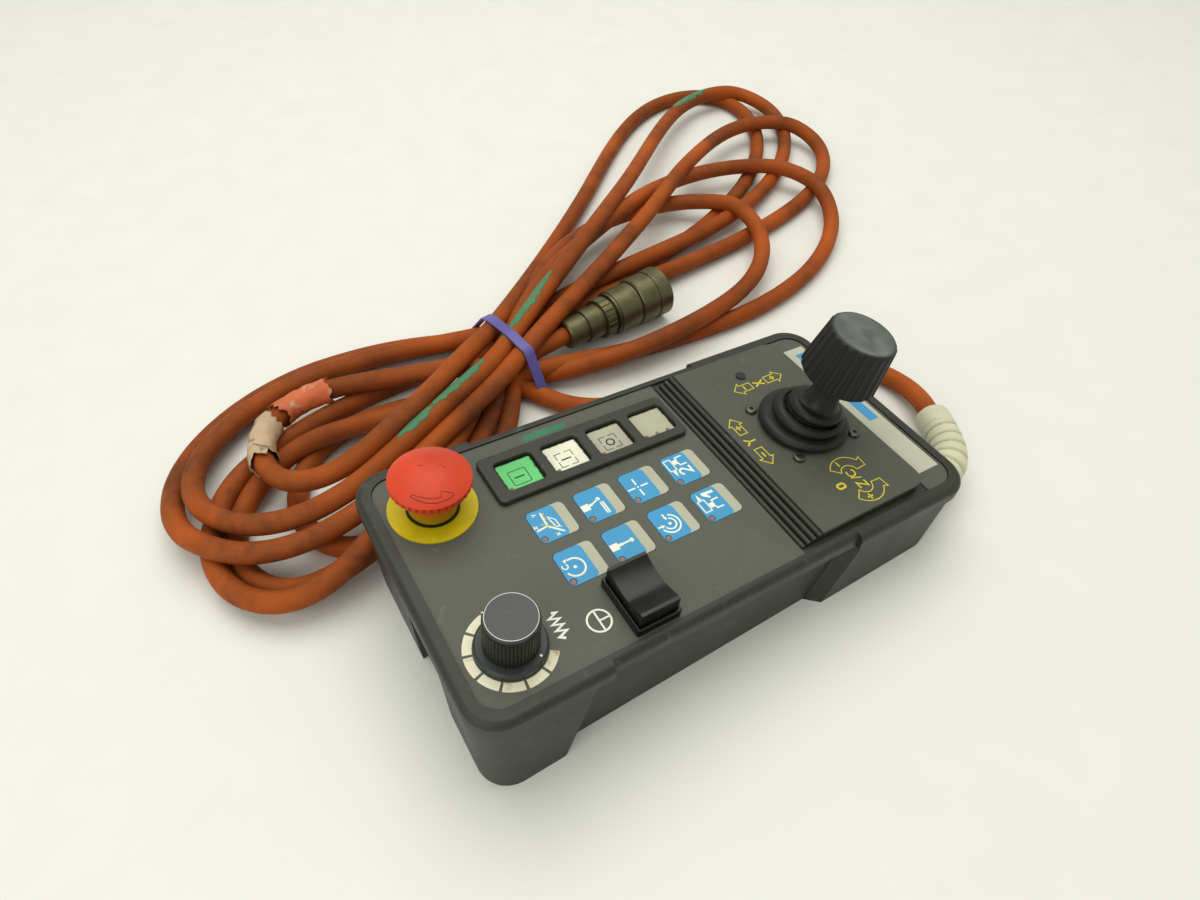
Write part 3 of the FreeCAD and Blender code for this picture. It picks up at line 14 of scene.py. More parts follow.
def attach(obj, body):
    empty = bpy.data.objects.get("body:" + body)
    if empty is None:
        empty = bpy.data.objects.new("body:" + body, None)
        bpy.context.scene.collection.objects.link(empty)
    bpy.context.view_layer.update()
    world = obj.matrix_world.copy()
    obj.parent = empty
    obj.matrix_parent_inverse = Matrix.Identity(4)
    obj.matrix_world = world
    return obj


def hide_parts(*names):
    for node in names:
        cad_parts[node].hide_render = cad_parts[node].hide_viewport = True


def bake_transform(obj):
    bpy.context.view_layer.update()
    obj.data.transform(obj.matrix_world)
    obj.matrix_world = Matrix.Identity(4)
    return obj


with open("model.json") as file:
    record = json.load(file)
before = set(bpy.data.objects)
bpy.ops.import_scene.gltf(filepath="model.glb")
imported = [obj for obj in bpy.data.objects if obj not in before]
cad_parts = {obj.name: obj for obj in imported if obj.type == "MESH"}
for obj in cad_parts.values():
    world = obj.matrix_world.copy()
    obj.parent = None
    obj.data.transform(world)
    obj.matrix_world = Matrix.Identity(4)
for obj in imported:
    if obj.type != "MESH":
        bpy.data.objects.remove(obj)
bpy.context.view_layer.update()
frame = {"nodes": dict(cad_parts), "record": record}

MM = 0.001
UP = Vector((0, 0, 1))
# The panel's frame (u, v, w), and the joystick's pivot below it with its lean as photographed
PANEL = Matrix.Translation((0.00045, 0, 0.0535)) @ Matrix.Rotation(math.radians(5), 4, "Y")
PANEL_UP = PANEL.to_3x3() @ UP
PIVOT = PANEL @ Matrix.Translation((0.079, 0, -0.006))
LEAN = Quaternion((0, 1, 0), math.radians(8.5)) @ Quaternion((1, 0, 0), math.radians(6))


# Materials

class Shader:
    """A material whose nodes read the piece's own coordinates."""

    def __init__(self, name):
        self.material = bpy.data.materials.new(name)
        self.material.use_nodes = True
        self.tree = self.material.node_tree
        self.surface = self.tree.nodes["Principled BSDF"]
        self.places = self.node("TexCoord").outputs
        self.place = self.places["Object"]

    def node(self, kind, **sockets):
        made = self.tree.nodes.new("ShaderNode" + kind)
        for name, value in sockets.items():
            self.set(made.inputs[name.replace("_", " ")], value)
        return made

    def set(self, socket, value):
        if isinstance(value, bpy.types.NodeSocket):
            self.tree.links.new(value, socket)
        else:
            socket.default_value = value

    def noise(self, size, detail, distortion=0.0, stretch=(1, 1, 1)):
        """Clouds about as large as the size, in metres, stretched along an axis where asked."""
        spread = self.node("Mapping", Vector=self.place, Scale=stretch)
        return self.node("TexNoise", Vector=spread.outputs[0], Scale=1 / size, Detail=detail,
                         Distortion=distortion).outputs["Fac"]

    def ramp(self, value, low, high, floor=0.0, ceiling=1.0):
        """The value's course from low to high, as one from floor to ceiling."""
        made = self.node("MapRange", Value=value, From_Min=low, From_Max=high, To_Min=floor, To_Max=ceiling)
        return made.outputs["Result"]

    def combine(self, kind, operation, values):
        made = self.node(kind)
        made.operation = operation
        for socket, value in zip(made.inputs, values):
            self.set(socket, value)
        return made.outputs

    def math(self, operation, *values):
        return self.combine("Math", operation, values)[0]

    def vector(self, operation, *values):
        result = "Value" if operation in ("DOT_PRODUCT", "LENGTH") else "Vector"
        return self.combine("VectorMath", operation, values)[result]

    def mix(self, factor, first, second):
        """A mix of two colours; the node holds them at its inputs 6 and 7, and the result at its output 2."""
        made = self.node("Mix")
        made.data_type = "RGBA"
        self.set(made.inputs[0], factor)
        self.set(made.inputs[6], first)
        self.set(made.inputs[7], second)
        return made.outputs[2]

    def uneven(self, clouds, colour, darker, paler, low=0.3, high=0.7):
        """The colour, darker or paler with the clouds."""
        return self.mix(self.ramp(clouds, low, high), shade(colour, darker), shade(colour, paler))

    def cover(self, tone, colour, where, share):
        """The tone with a share of a colour laid over it in places."""
        return self.mix(self.math("MULTIPLY", where, share), tone, colour)

    def bump(self, height, depth):
        made = self.node("Bump", Height=height, Distance=depth, Strength=1.0)
        self.set(self.surface.inputs["Normal"], made.outputs[0])

    def finish(self, colour, roughness, metallic=0.0, specular=0.5):
        for name, value in (("Base Color", colour), ("Roughness", roughness), ("Metallic", metallic),
                            ("Specular IOR Level", specular)):
            self.set(self.surface.inputs[name], value)
        return self.material


DUST = (0.3, 0.29, 0.25, 1)
OWN_DUST = {"relief_beige": (0.3, 0.27, 0.2, 1), "print_cream": (0.25, 0.16, 0.08, 1)}
EDGE_DIRT = (0.022, 0.021, 0.016, 1)
RIM_FADE = 0.0018


def shade(colour, factor):
    return tuple(min(1.0, part * factor) for part in colour[:3]) + (1.0,)


def moulded(name, colour, roughness, grain, depth, patchy, dusty, specular):
    """Plastic, print or rubber with a fine grain, uneven tone and a little dust or wear."""
    shader = Shader(name)
    clouds = shader.noise(0.03, 5.0, 0.4)
    tone = shader.uneven(clouds, colour, 1 - patchy, 1 + patchy)
    if dusty:
        specks = shader.ramp(shader.noise(0.006, 8.0, 0.8), 0.62, 0.74)
        tone = shader.cover(tone, OWN_DUST.get(name, DUST), specks, dusty)
    shader.bump(shader.noise(grain, 2.0), depth)
    rough = shader.ramp(clouds, 0.3, 0.7, roughness - 0.07, roughness + 0.07)
    return shader.finish(tone, rough, specular=specular)


def metal(name, colour, roughness, stain=None, stained=0.0):
    """Bare or plated metal with fine scratches and dull stains."""
    shader = Shader(name)
    scratches = shader.noise(0.0012, 6.0, 1.5, stretch=(1, 1, 6))
    tone = shader.mix(scratches, shade(colour, 0.75), shade(colour, 1.2))
    if stain:
        patches = shader.ramp(shader.noise(0.008, 6.0, 0.6), 0.45, 0.7)
        tone = shader.cover(tone, stain, patches, stained)
    shader.bump(scratches, 0.00002)
    rough = shader.ramp(scratches, 0.2, 0.8, roughness - 0.1, roughness + 0.15)
    return shader.finish(tone, rough, metallic=0.9)


def soiled_jacket(name, colour, soot, soiled, specular):
    """Cable jacket with dark handling marks along it."""
    shader = Shader(name)
    broad = shader.noise(0.11, 3.0, 0.5)
    clouds = shader.noise(0.045, 6.0, 0.6)
    marks = shader.noise(0.011, 7.0, 1.0)
    tone = shader.uneven(broad, colour, 0.72, 1.18, 0.35, 0.65)
    handled = shader.ramp(marks, 0.3, 0.65, 0.45, 1.0)
    dirt = shader.math("MULTIPLY", shader.ramp(clouds, 0.38, 0.68), handled)
    shader.bump(shader.noise(0.0009, 4.0), 0.00005)
    rough = shader.ramp(marks, 0.3, 0.7, 0.52, 0.68)
    return shader.finish(shader.cover(tone, soot, dirt, soiled), rough, specular=specular)


def worn_paint(name, colour, scuff, size, scuffed, roughness, specular):
    """Coloured plastic with scuffs that show a paler or darker tone."""
    shader = Shader(name)
    tone = shader.uneven(shader.noise(0.02, 5.0, 0.3), colour, 0.88, 1.1)
    scuffs = shader.ramp(shader.noise(size, 9.0, 1.2), 0.54, 0.68)
    shader.bump(shader.noise(0.0006, 4.0), 0.00004)
    rough = shader.ramp(scuffs, 0.0, 1.0, roughness, roughness + 0.25)
    return shader.finish(shader.cover(tone, scuff, scuffs, scuffed), rough, specular=specular)


def soiled_edge(name, colour):
    """A printed key face with black dirt and lost print along its edges."""
    shader = Shader(name)
    tone = shader.uneven(shader.noise(0.012, 5.0, 0.4), colour, 0.9, 1.08)
    across = shader.node("SeparateXYZ", Vector=shader.places["Generated"])
    inside = 1.0
    for axis in (0, 1):
        from_middle = shader.math("ABSOLUTE", shader.math("SUBTRACT", across.outputs[axis], 0.5))
        inside = shader.math("MINIMUM", inside, shader.math("SUBTRACT", 0.5, from_middle))
    ragged = shader.math("MULTIPLY", shader.noise(0.0022, 6.0, 0.5), 0.075)
    dirt = shader.ramp(shader.math("SUBTRACT", ragged, inside), -0.008, 0.012)
    tone = shader.mix(dirt, tone, EDGE_DIRT)
    shader.bump(shader.noise(0.0005, 2.0), 0.00001)
    return shader.finish(tone, shader.ramp(dirt, 0.0, 1.0, 0.38, 0.65), specular=0.3)


def two_tone_top(name, side, top, scuff, level, axis, soft, rim=None):
    """A piece with a cloudy top, above a level along its axis and inside a rim's centre and radius; the
    collar's top is a painted reflection.
    """
    shader = Shader(name)
    height = shader.math("SUBTRACT", shader.vector("DOT_PRODUCT", shader.place, axis), level)
    # worn: the share of the top's colour, which on the stop's collar is a painted reflection of the red head
    worn = shader.ramp(height, -soft, soft)
    if rim:
        centre, radius = rim
        arm = shader.vector("CROSS_PRODUCT", shader.vector("SUBTRACT", shader.place, centre), axis)
        inside = shader.ramp(shader.vector("LENGTH", arm), radius, radius - RIM_FADE)
        worn = shader.math("MULTIPLY", worn, inside)
    clouds = shader.ramp(shader.noise(0.02, 5.0, 0.5), 0.4, 0.66)
    crown = shader.mix(clouds, top, scuff)
    dusty = shader.ramp(shader.noise(0.006, 8.0, 0.8), 0.6, 0.78, 0.0, 0.25)
    tone = shader.mix(worn, shader.mix(dusty, side, shade(side, 2.2)), crown)
    shader.bump(shader.noise(0.0005, 3.0), 0.00003)
    return shader.finish(tone, shader.ramp(worn, 0.0, 1.0, 0.5, 0.38), specular=0.3)


# Colour, roughness, size and depth of the grain, unevenness, share of dust and gloss
MOULDED = {
    "case_black": ((0.022, 0.023, 0.016), 0.46, 0.0006, 0.00006, 0.2, 0.1, 0.4),
    "foil_grey": ((0.087, 0.089, 0.071), 0.5, 0.00035, 0.00002, 0.08, 0.1, 0.3),
    "label_silver": ((0.47, 0.47, 0.37), 0.4, 0.0004, 0.00001, 0.06, 0, 0.4),
    "plate_black": ((0.074, 0.077, 0.06), 0.48, 0.00035, 0.00002, 0.08, 0.1, 0.3),
    "key_blue": ((0.042, 0.285, 0.54), 0.45, 0.0005, 0.00002, 0.05, 0, 0.35),
    "lens_red": ((0.22, 0.1, 0.075), 0.3, 0.0003, 0.00001, 0.2, 0, 0.5),
    "knob_black": ((0.017, 0.018, 0.015), 0.42, 0.0005, 0.00003, 0.25, 0.15, 0.35),
    "skirt_grey": ((0.03, 0.034, 0.036), 0.4, 0.0004, 0.00001, 0.12, 0.1, 0.35),
    "cap_blue_grey": ((0.04, 0.043, 0.046), 0.34, 0.0004, 0.00001, 0.12, 0.15, 0.4),
    "rocker_black": ((0.0045, 0.0045, 0.004), 0.2, 0.0008, 0.00001, 0.2, 0.03, 0.32),
    "boot_rubber": ((0.009, 0.009, 0.008), 0.46, 0.0004, 0.00003, 0.2, 0.08, 0.32),
    "board_green": ((0.02, 0.12, 0.05), 0.4, 0.00025, 0.00003, 0.12, 0, 0.5),
    "relief_beige": ((0.6, 0.59, 0.42), 0.5, 0.0005, 0.00003, 0.08, 0.25, 0.3),
    "tie_violet": ((0.115, 0.095, 0.34), 0.4, 0.0006, 0.00002, 0.15, 0, 0.35),
    "insert_black": ((0.02, 0.02, 0.02), 0.5, 0.00025, 0.00003, 0.12, 0, 0.5),
    "print_white": ((0.8, 0.81, 0.7), 0.5, 0.0005, 0.00001, 0.06, 0, 0.3),
    "print_cream": ((0.7, 0.67, 0.5), 0.5, 0.0005, 0.00001, 0.12, 0.7, 0.3),
    "print_grey": ((0.42, 0.42, 0.32), 0.45, 0.0005, 0.00001, 0.06, 0, 0.3),
    "print_yellow": ((0.66, 0.55, 0.015), 0.5, 0.0005, 0.00001, 0.08, 0, 0.3),
    "print_black": ((0.02, 0.02, 0.016), 0.55, 0.0005, 0.00001, 0.2, 0, 0.3),
    "print_blue": ((0.05, 0.29, 0.54), 0.42, 0.0005, 0.00001, 0.06, 0, 0.35),
    "tape_green": ((0.03, 0.17, 0.095), 0.5, 0.0008, 0.00003, 0.2, 0, 0.3),
    # Dark red of the stop's carved lines: painted shade of their grooves
    "carved_red": ((0.16, 0.012, 0.008), 0.6, 0.0005, 0.00001, 0.2, 0, 0.3),
    "floor_white": ((0.745, 0.745, 0.705), 0.55, 0.002, 0.00002, 0.015, 0, 0.5),
}
# Colour, colour and size of the scuffs, their share, roughness and gloss
WORN = {
    "stop_red": ((0.6, 0.046, 0.013), (0.52, 0.088, 0.042, 1), 0.008, 0.38, 0.45, 0.3),
    "stop_yellow": ((0.6, 0.475, 0.004), (0.36, 0.27, 0.01, 1), 0.012, 0.35, 0.45, 0.25),
    "paint_green": ((0.065, 0.2, 0.1), (0.22, 0.08, 0.02, 1), 0.006, 0.6, 0.5, 0.2),
    "sleeve_red": ((0.56, 0.13, 0.045), (0.5, 0.38, 0.26, 1), 0.009, 0.85, 0.5, 0.25),
    "sleeve_clear": ((0.5, 0.35, 0.22), (0.13, 0.105, 0.05, 1), 0.008, 0.85, 0.4, 0.4),
}
# Colour, roughness, and the colour and share of stains
METALS = {
    "steel": ((0.42, 0.41, 0.38), 0.32),
    "screw_black": ((0.12, 0.115, 0.1), 0.32, (0.2, 0.18, 0.14, 1), 0.4),
    "brass": ((0.55, 0.42, 0.16), 0.3),
    "connector_olive": ((0.145, 0.13, 0.068), 0.42, (0.06, 0.054, 0.03, 1), 0.6),
}
# Colour, with soiled edges
KEY_FACES = {
    "key_green": ((0.12, 0.56, 0.17),),
    "key_white": ((0.74, 0.75, 0.6),),
    "key_grey": ((0.4, 0.4, 0.3),),
    "window_grey": ((0.4, 0.4, 0.29),),
}
JACKETS = {"cable_orange": ((0.345, 0.072, 0.01), (0.085, 0.034, 0.014, 1), 0.8, 0.12)}
# The joystick's grip: height over the pivot, depth of its pale crown and radius of its rim
GRIP_HIGH = 0.071
GRIP_CROWN = 0.003
GRIP_RIM = 0.0162
GRIP_AXIS = (PIVOT.to_quaternion() @ LEAN) @ UP
GRIP_TOP = PIVOT @ (LEAN @ (UP * GRIP_HIGH))
# Height over the panel from which the stop's yellow collar turns orange, a painted reflection of the red head
COLLAR_REFLECTION = 0.005
# Colours of the side, the top and the clouds on the top, level, axis and softness of the top's edge, and its
# rim; the collar's top and its clouds are a painted reflection of the red head
TOPS = {
    "grip_worn": ((0.012, 0.0125, 0.011, 1), (0.165, 0.18, 0.16, 1), (0.085, 0.094, 0.088, 1),
                  GRIP_AXIS.dot(GRIP_TOP) - GRIP_CROWN, GRIP_AXIS, 0.0005, (GRIP_TOP, GRIP_RIM)),
    # The stop's collar: yellow below, and orange above, which is a painted reflection of the red head
    "collar_worn": ((0.36, 0.26, 0.004, 1), (0.46, 0.105, 0.006, 1), (0.4, 0.13, 0.008, 1),
                    PANEL_UP.dot(PANEL.translation) + COLLAR_REFLECTION, PANEL_UP, 0.0035),
}
LOOKS = {}
for make, table in ((moulded, MOULDED), (worn_paint, WORN), (metal, METALS), (soiled_edge, KEY_FACES),
                    (soiled_jacket, JACKETS), (two_tone_top, TOPS)):
    for name, values in table.items():
        LOOKS[name] = make(name, *values)
OWN_LOOKS = {"joystick_grip": "grip_worn", "stop_body": "collar_worn", "speed_skirt": "skirt_grey"}
for entry in frame["record"]["subparts"]:
    piece = frame["nodes"][entry["node"]]
    piece.data.materials.clear()
    piece.data.materials.append(LOOKS[OWN_LOOKS.get(entry["node"], entry["material_slot"])])


# Meshes

def add_object(name, data):
    made = bpy.data.objects.new(name, data)
    bpy.context.scene.collection.objects.link(made)
    return made


def add_piece(name, points, faces, look, body, place=None, smooth=True, thick=0):
    """A piece from points in mm, thickened inwards, that rides on a body, or on none."""
    mesh = bpy.data.meshes.new(name)
    mesh.from_pydata([Vector(point) * MM for point in points], [], faces, shade_flat=not smooth)
    if place:
        mesh.transform(place)
    mesh.update()
    mesh.materials.append(LOOKS[look])
    piece = add_object(name, mesh)
    if body:
        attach(piece, body)
    if thick:
        wall = piece.modifiers.new("wall", "SOLIDIFY")
        wall.thickness = thick * MM
        wall.offset = -1
    return piece


def grid_faces(rows, columns, close_rows=False, close_columns=True):
    """Faces between neighbouring points of a grid, which may close on itself either way."""
    faces = []
    for row in range(rows if close_rows else rows - 1):
        after = (row + 1) % rows
        for column in range(columns if close_columns else columns - 1):
            beside = (column + 1) % columns
            faces.append((row * columns + column, row * columns + beside,
                          after * columns + beside, after * columns + column))
    return faces


def arc(x, y, radius, start, end, steps):
    """Points on an arc between two angles in degrees."""
    turns = [math.radians(start + (end - start) * step / steps) for step in range(steps + 1)]
    return [(x + radius * math.cos(turn), y + radius * math.sin(turn)) for turn in turns]


def rounded(half_x, half_y, radius):
    """Outline of a rectangle with round corners."""
    corners = []
    for x, y, start in ((1, 1, 0), (-1, 1, 90), (-1, -1, 180), (1, -1, 270)):
        corners += arc(x * (half_x - radius), y * (half_y - radius), radius, start, start + 90, 5)
    return corners


# Prints

PRINT_HIGH = 0.04
PRINT_DEEP = 0.1
# The least cosine at which a mitre is drawn in full
SHARPEST = 0.45


def top_of(node):
    """Height of a node's top over the panel's plane, in millimetres."""
    onto = PANEL.inverted()
    return max((onto @ vertex.co).z for vertex in frame["nodes"][node].data.vertices) / MM


def circle(x, y, radius):
    """A round outline of 24 corners."""
    return arc(x, y, radius, 0, 345, 23)


class Ink:
    """Flat marks on a face of the panel, in millimetres: x runs to +v and y to -u from a centre."""

    def __init__(self, u, v, level):
        self.centre = (u, v)
        self.level = level + PRINT_HIGH
        self.points = []
        self.faces = []

    def place(self, x, y):
        return (self.centre[0] - y, self.centre[1] + x, self.level)

    def patch(self, corners):
        """A filled outline, which may run either way round."""
        ahead = corners[1:] + corners[:1]
        area = sum(before[0] * after[1] - after[0] * before[1] for before, after in zip(corners, ahead))
        if area < 0:
            corners = corners[::-1]
        first = len(self.points)
        self.points += [self.place(x, y) for x, y in corners]
        self.faces.append(range(first, len(self.points)))
        return self

    def dot(self, x, y, radius):
        return self.patch(circle(x, y, radius))

    def line(self, corners, width, closed=False):
        """A stroke of even width with mitred corners, cut short where they are sharp."""
        path = [Vector(corner) for corner in corners]
        count = len(path)
        first = len(self.points)
        for index, corner in enumerate(path):
            came = corner - path[index - 1] if closed or index else path[1] - corner
            goes = path[(index + 1) % count] - corner if closed or index < count - 1 else came
            across = (came.normalized() + goes.normalized()).orthogonal().normalized()
            square = across.dot(came.orthogonal().normalized())
            reach = across * (width / 2 / max(SHARPEST, square))
            self.points += [self.place(*(corner + reach)), self.place(*(corner - reach))]
        for index in range(count if closed else count - 1):
            here = first + 2 * index
            after = first + 2 * ((index + 1) % count)
            self.faces.append((here + 1, after + 1, after, here))

    def print(self, name, look, body, slot):
        add_piece(name, self.points, self.faces, look, body, PANEL, False, PRINT_DEEP)


# Prints on the keys

KEY_TOP = top_of("key_far_1")
KEY_FIRST = -63.9
KEY_PITCH = 24.5
KEY_ROWS = {"far": 5.7, "near": -19.15}
BLOCK = [(-1.9, 5.2), (1.8, 5.2), (1.8, 9.2), (-1.9, 9.2)]


def machine(ink, x, side):
    """A measuring machine seen from the front: bridge with a pointed end, column and foot."""
    near, far = x - 2.6 * side, x + 4.2 * side
    ink.line([(near, 4.6), (far, 4.6), (far, 8.2), (near, 8.2)], 0.6, True)
    ink.patch([(far, 5.2), (x + 8.5 * side, 6.4), (far, 7.6)])
    ink.patch([(x - 1.4, 1.4), (x + 1.4, 1.4), (x + 1.4, 4.6), (x - 1.4, 4.6)])
    for foot in (-1, 1):
        ink.line([(x + 1.2 * foot, 1.5), (x + 2.5 * foot, 1.4), (x + 2.6 * foot, -2.4)], 0.8)


def icon_far_1(ink):
    """Three axes with their letters, and the outline of a plane."""
    for end in ((7.0, 2.6), (-1.7, 8.6), (-6.9, -2.6)):
        ink.line([(-1.0, 3.1), end], 0.9)
    ink.line([(3.5, 0.6), (0.8, -1.8), (-3.7, -2.0), (-2.9, -0.4), (1.5, 0.5)], 0.6, True)
    ink.line([(6.2, 6.6), (6.9, 5.7), (7.6, 6.6)], 0.5)
    ink.line([(6.9, 5.7), (6.9, 4.6)], 0.5)
    ink.line([(-0.4, 8.9), (1.2, 8.9), (-0.4, 7.6), (1.2, 7.6)], 0.5)
    for lean in (-0.8, 0.8):
        ink.line([(-6.4, 0.7 - lean), (-7.8, 0.7 + lean)], 0.5)


def icon_far_2(ink):
    """A probe with a tilted tip, and a long bar."""
    ink.patch(BLOCK)
    ink.line([(0.2, 5.2), (0.6, 3.4)], 1.3)
    ink.line([(0.6, 3.4), (2.1, -0.4)], 0.8)
    ink.dot(2.2, -0.5, 1.0)
    for edge in (-1.8, -0.6):
        ink.line([(-0.2, edge), (-6.8, edge)], 0.8)
    for end in (-0.2, -6.8):
        ink.line([(end, -2.2), (end, -0.2)], 0.6)


def icon_far_3(ink):
    """Crosshairs."""
    for x, y in ((1, 0), (-1, 0), (0, 1), (0, -1)):
        ink.line([(-0.4 + 1.5 * x, 3.3 + 1.5 * y), (-0.4 + 5.5 * x, 3.3 + 5.5 * y)], 0.85)
    ink.dot(-0.4, 3.3, 0.5)


def icon_far_4(ink):
    """A machine, and a 2."""
    machine(ink, 4.55, -1)
    ink.line(arc(-2.0, 2.4, 1.75, 170, -20, 10) + [(-3.9, -2.0), (0.2, -2.0)], 1.1)


def icon_near_1(ink):
    """A turn round a dot, with its letter."""
    ink.line(arc(-0.7, 3.2, 4.6, 108, 379, 30), 0.85)
    ink.patch([(4.2, 6.7), (2.6, 6.2), (4.7, 4.4)])
    ink.dot(-0.7, 3.1, 0.8)
    ink.line(arc(1.2, 7.0, 1.3, 40, 320, 12), 0.6)


def icon_near_2(ink):
    """A probe."""
    ink.patch(BLOCK)
    ink.line([(0, 5.2), (0, 3.0)], 1.4)
    ink.line([(0, 3.0), (0.1, -1.2)], 0.9)
    ink.dot(0.1, -1.7, 1.1)


def icon_near_3(ink):
    """Arcs round a dot, with two arrows towards it."""
    for radius in (5.0, 3.0):
        ink.line(arc(-0.4, 2.3, radius, 110, 340, 24), 0.8)
    ink.dot(-0.4, 2.3, 0.8)
    ink.line([(5.6, 2.8), (3.4, 2.6)], 0.8)
    ink.patch([(3.6, 1.7), (3.6, 3.5), (1.7, 2.5)])
    ink.line([(-0.3, 8.6), (-0.4, 6.6)], 0.8)
    ink.patch([(-1.4, 6.8), (-0.5, 4.9), (0.6, 6.8)])


def icon_near_4(ink):
    """A machine, and a 1."""
    machine(ink, -0.6, 1)
    ink.patch([(7.5, 3.9), (5.8, 3.9), (3.4, 1.2), (3.9, 0.2), (5.8, 1.4), (5.6, -2.6), (7.1, -2.6)])


ICONS = {"far": (icon_far_1, icon_far_2, icon_far_3, icon_far_4),
         "near": (icon_near_1, icon_near_2, icon_near_3, icon_near_4)}
# Outline of the pale strip at the joystick end of a key
STRIP = [(9.2, -2.6), (8.7, -3.9), (7.3, -4.45), (-7.3, -4.45), (-8.7, -3.9), (-9.2, -2.6), (-9.2, -6.95)]
STRIP += arc(-6.7, -6.95, 2.5, 180, 270, 5) + arc(6.7, -6.95, 2.5, 270, 360, 5)
for row, v in KEY_ROWS.items():
    for column, draw in enumerate(ICONS[row]):
        name = f"{row}_{column + 1}"
        body = f"body_key_{name}"
        u = KEY_FIRST + KEY_PITCH * column
        Ink(u, v, KEY_TOP).patch(STRIP).print(f"key_strip_{name}", "print_grey", body, "key_grey")
        icon = Ink(u, v, KEY_TOP)
        draw(icon)
        icon.print(f"key_icon_{name}", "print_white", body, "key_white")
# Broken lines over the plane of the first icon
DASHED = (((1.1, 5.4), (-4.2, -2.9)), ((6.4, 1.5), (-2.6, 2.9)))
DASH_STARTS = (0, 0.28, 0.56, 0.84)
DASH_LENGTH = 0.16
dashes = Ink(KEY_FIRST, KEY_ROWS["far"], KEY_TOP + PRINT_HIGH)
for ends in DASHED:
    start, end = (Vector(spot) for spot in ends)
    for share in DASH_STARTS:
        dashes.line([start.lerp(end, share), start.lerp(end, share + DASH_LENGTH)], 0.5)
dashes.print("key_dashes_far_1", "print_yellow", "body_key_far_1", "stop_yellow")


# Prints on the guarded keys and the status window

GUARDED_TOP = top_of("guarded_key_start")
GUARDED_FIRST = -63.8
GUARDED_PITCH = 25
GUARDED_ROW = 37.5
SQUARE_X = -1.8
SQUARE_Y = 0.8
SQUARE_HALF = 4.4
SQUARE_GAP = 0.8
LAMP_X = -7.3
LAMP_ROWS = (7.6, 1.3, -5.0)
LAMP_RADIUS = 1.1
for column, name in enumerate(("start", "enable", "hold")):
    body = f"body_guarded_key_{name}"
    u = GUARDED_FIRST + GUARDED_PITCH * column
    mark = Ink(u - SQUARE_Y, GUARDED_ROW + SQUARE_X, GUARDED_TOP)
    if name == "start":
        mark.line(rounded(SQUARE_HALF, SQUARE_HALF, 0.8), 0.4, True)
    else:
        for x, y in ((1, 1), (-1, 1), (-1, -1), (1, -1)):
            corner = (x * SQUARE_HALF, y * SQUARE_HALF)
            mark.line([(corner[0], y * SQUARE_GAP), corner, (x * SQUARE_GAP, corner[1])], 0.4)
    if name == "hold":
        mark.line(circle(0, 0, 2.0), 0.8, True)
    else:
        mark.line([(0, 2.6), (0, -2.6)], 0.8)
    mark.print(f"guarded_mark_{name}", "print_black", body, "insert_black")
    lamp = Ink(u, GUARDED_ROW, GUARDED_TOP).dot(LAMP_X, LAMP_ROWS[0], LAMP_RADIUS)
    lamp.print(f"guarded_lamp_{name}", "lens_red", body, "lens_red")
lamps = Ink(GUARDED_FIRST + 3 * GUARDED_PITCH, GUARDED_ROW, top_of("status_window"))
for y in LAMP_ROWS:
    lamps.dot(LAMP_X, y, LAMP_RADIUS)
lamps.print("window_lamps", "lens_red", "case", "lens_red")


# Prints on the foil and the label

FOIL_TOP = top_of("keypad_overlay")
SPEED = (-107.9, -40.4)
# The bars of the speed scale, with angles in degrees from the print's x axis
SCALE_BARS = 7
SCALE_START = 13.5
SCALE_STEP = 32.3
SCALE_SWEEP = 28.3
SCALE_INNER = 15.2
SCALE_OUTER = 19.0
scale = Ink(*SPEED, FOIL_TOP)
for segment in range(SCALE_BARS):
    start = SCALE_START + SCALE_STEP * segment
    inner = arc(0, 0, SCALE_INNER, start + SCALE_SWEEP, start, 8)
    scale.patch(arc(0, 0, SCALE_OUTER, start, start + SCALE_SWEEP, 8) + inner)
scale.print("speed_scale", "print_cream", "case", "label_silver")

# A zigzag over a ring with a bar and a stem
ZIGZAG_Y = 87.2
ZIGZAG_HALF = 2.1
ZIGZAG_STEP = 1.5
ZIGZAG_BENDS = 8
RING = (-47.0, 71.6)
signs = Ink(0, 0, FOIL_TOP)
zigzag = [(-34.8, ZIGZAG_Y)]
for step in range(ZIGZAG_BENDS):
    zigzag.append((-35.4 - ZIGZAG_STEP * step, ZIGZAG_Y - ZIGZAG_HALF * (-1) ** step))
signs.line(zigzag + [(-47.4, ZIGZAG_Y)], 1.15)
signs.line(circle(*RING, 5.1), 0.85, True)
signs.line([(RING[0] + 4.8, RING[1]), (RING[0] - 4.8, RING[1])], 0.8)
signs.line([(RING[0], RING[1] - 0.4), (RING[0], RING[1] - 4.8)], 0.8)
signs.print("panel_signs", "print_white", "case", "label_silver")
TAPE = [(55.0, 51.8), (55.3, 28.5), (58.7, 28.1), (59.0, 40.0), (58.8, 51.6)]
Ink(0, 0, FOIL_TOP).patch(TAPE).print("tape_patch", "tape_green", "case", "key_green")
BAR = [(-12.8, -118.0), (-12.8, -124.4), (47.0, -124.4), (47.0, -118.0)]
Ink(0, 0, top_of("end_label")).patch(BAR).print("label_bar", "print_blue", "case", "key_blue")


# Prints on the joystick's plate

ARROW_HALF = 2.4
ARROW_NECK = 6.8
ARROW_BARB = 4.2
ARROW_TIP = 11.4
ARROW_SIGN = 4.6
SIGN_HALF = 1.6


def sign(ink, x, y, plus):
    ink.line([(x - SIGN_HALF, y), (x + SIGN_HALF, y)], 0.8)
    if plus:
        ink.line([(x, y - SIGN_HALF), (x, y + SIGN_HALF)], 0.8)


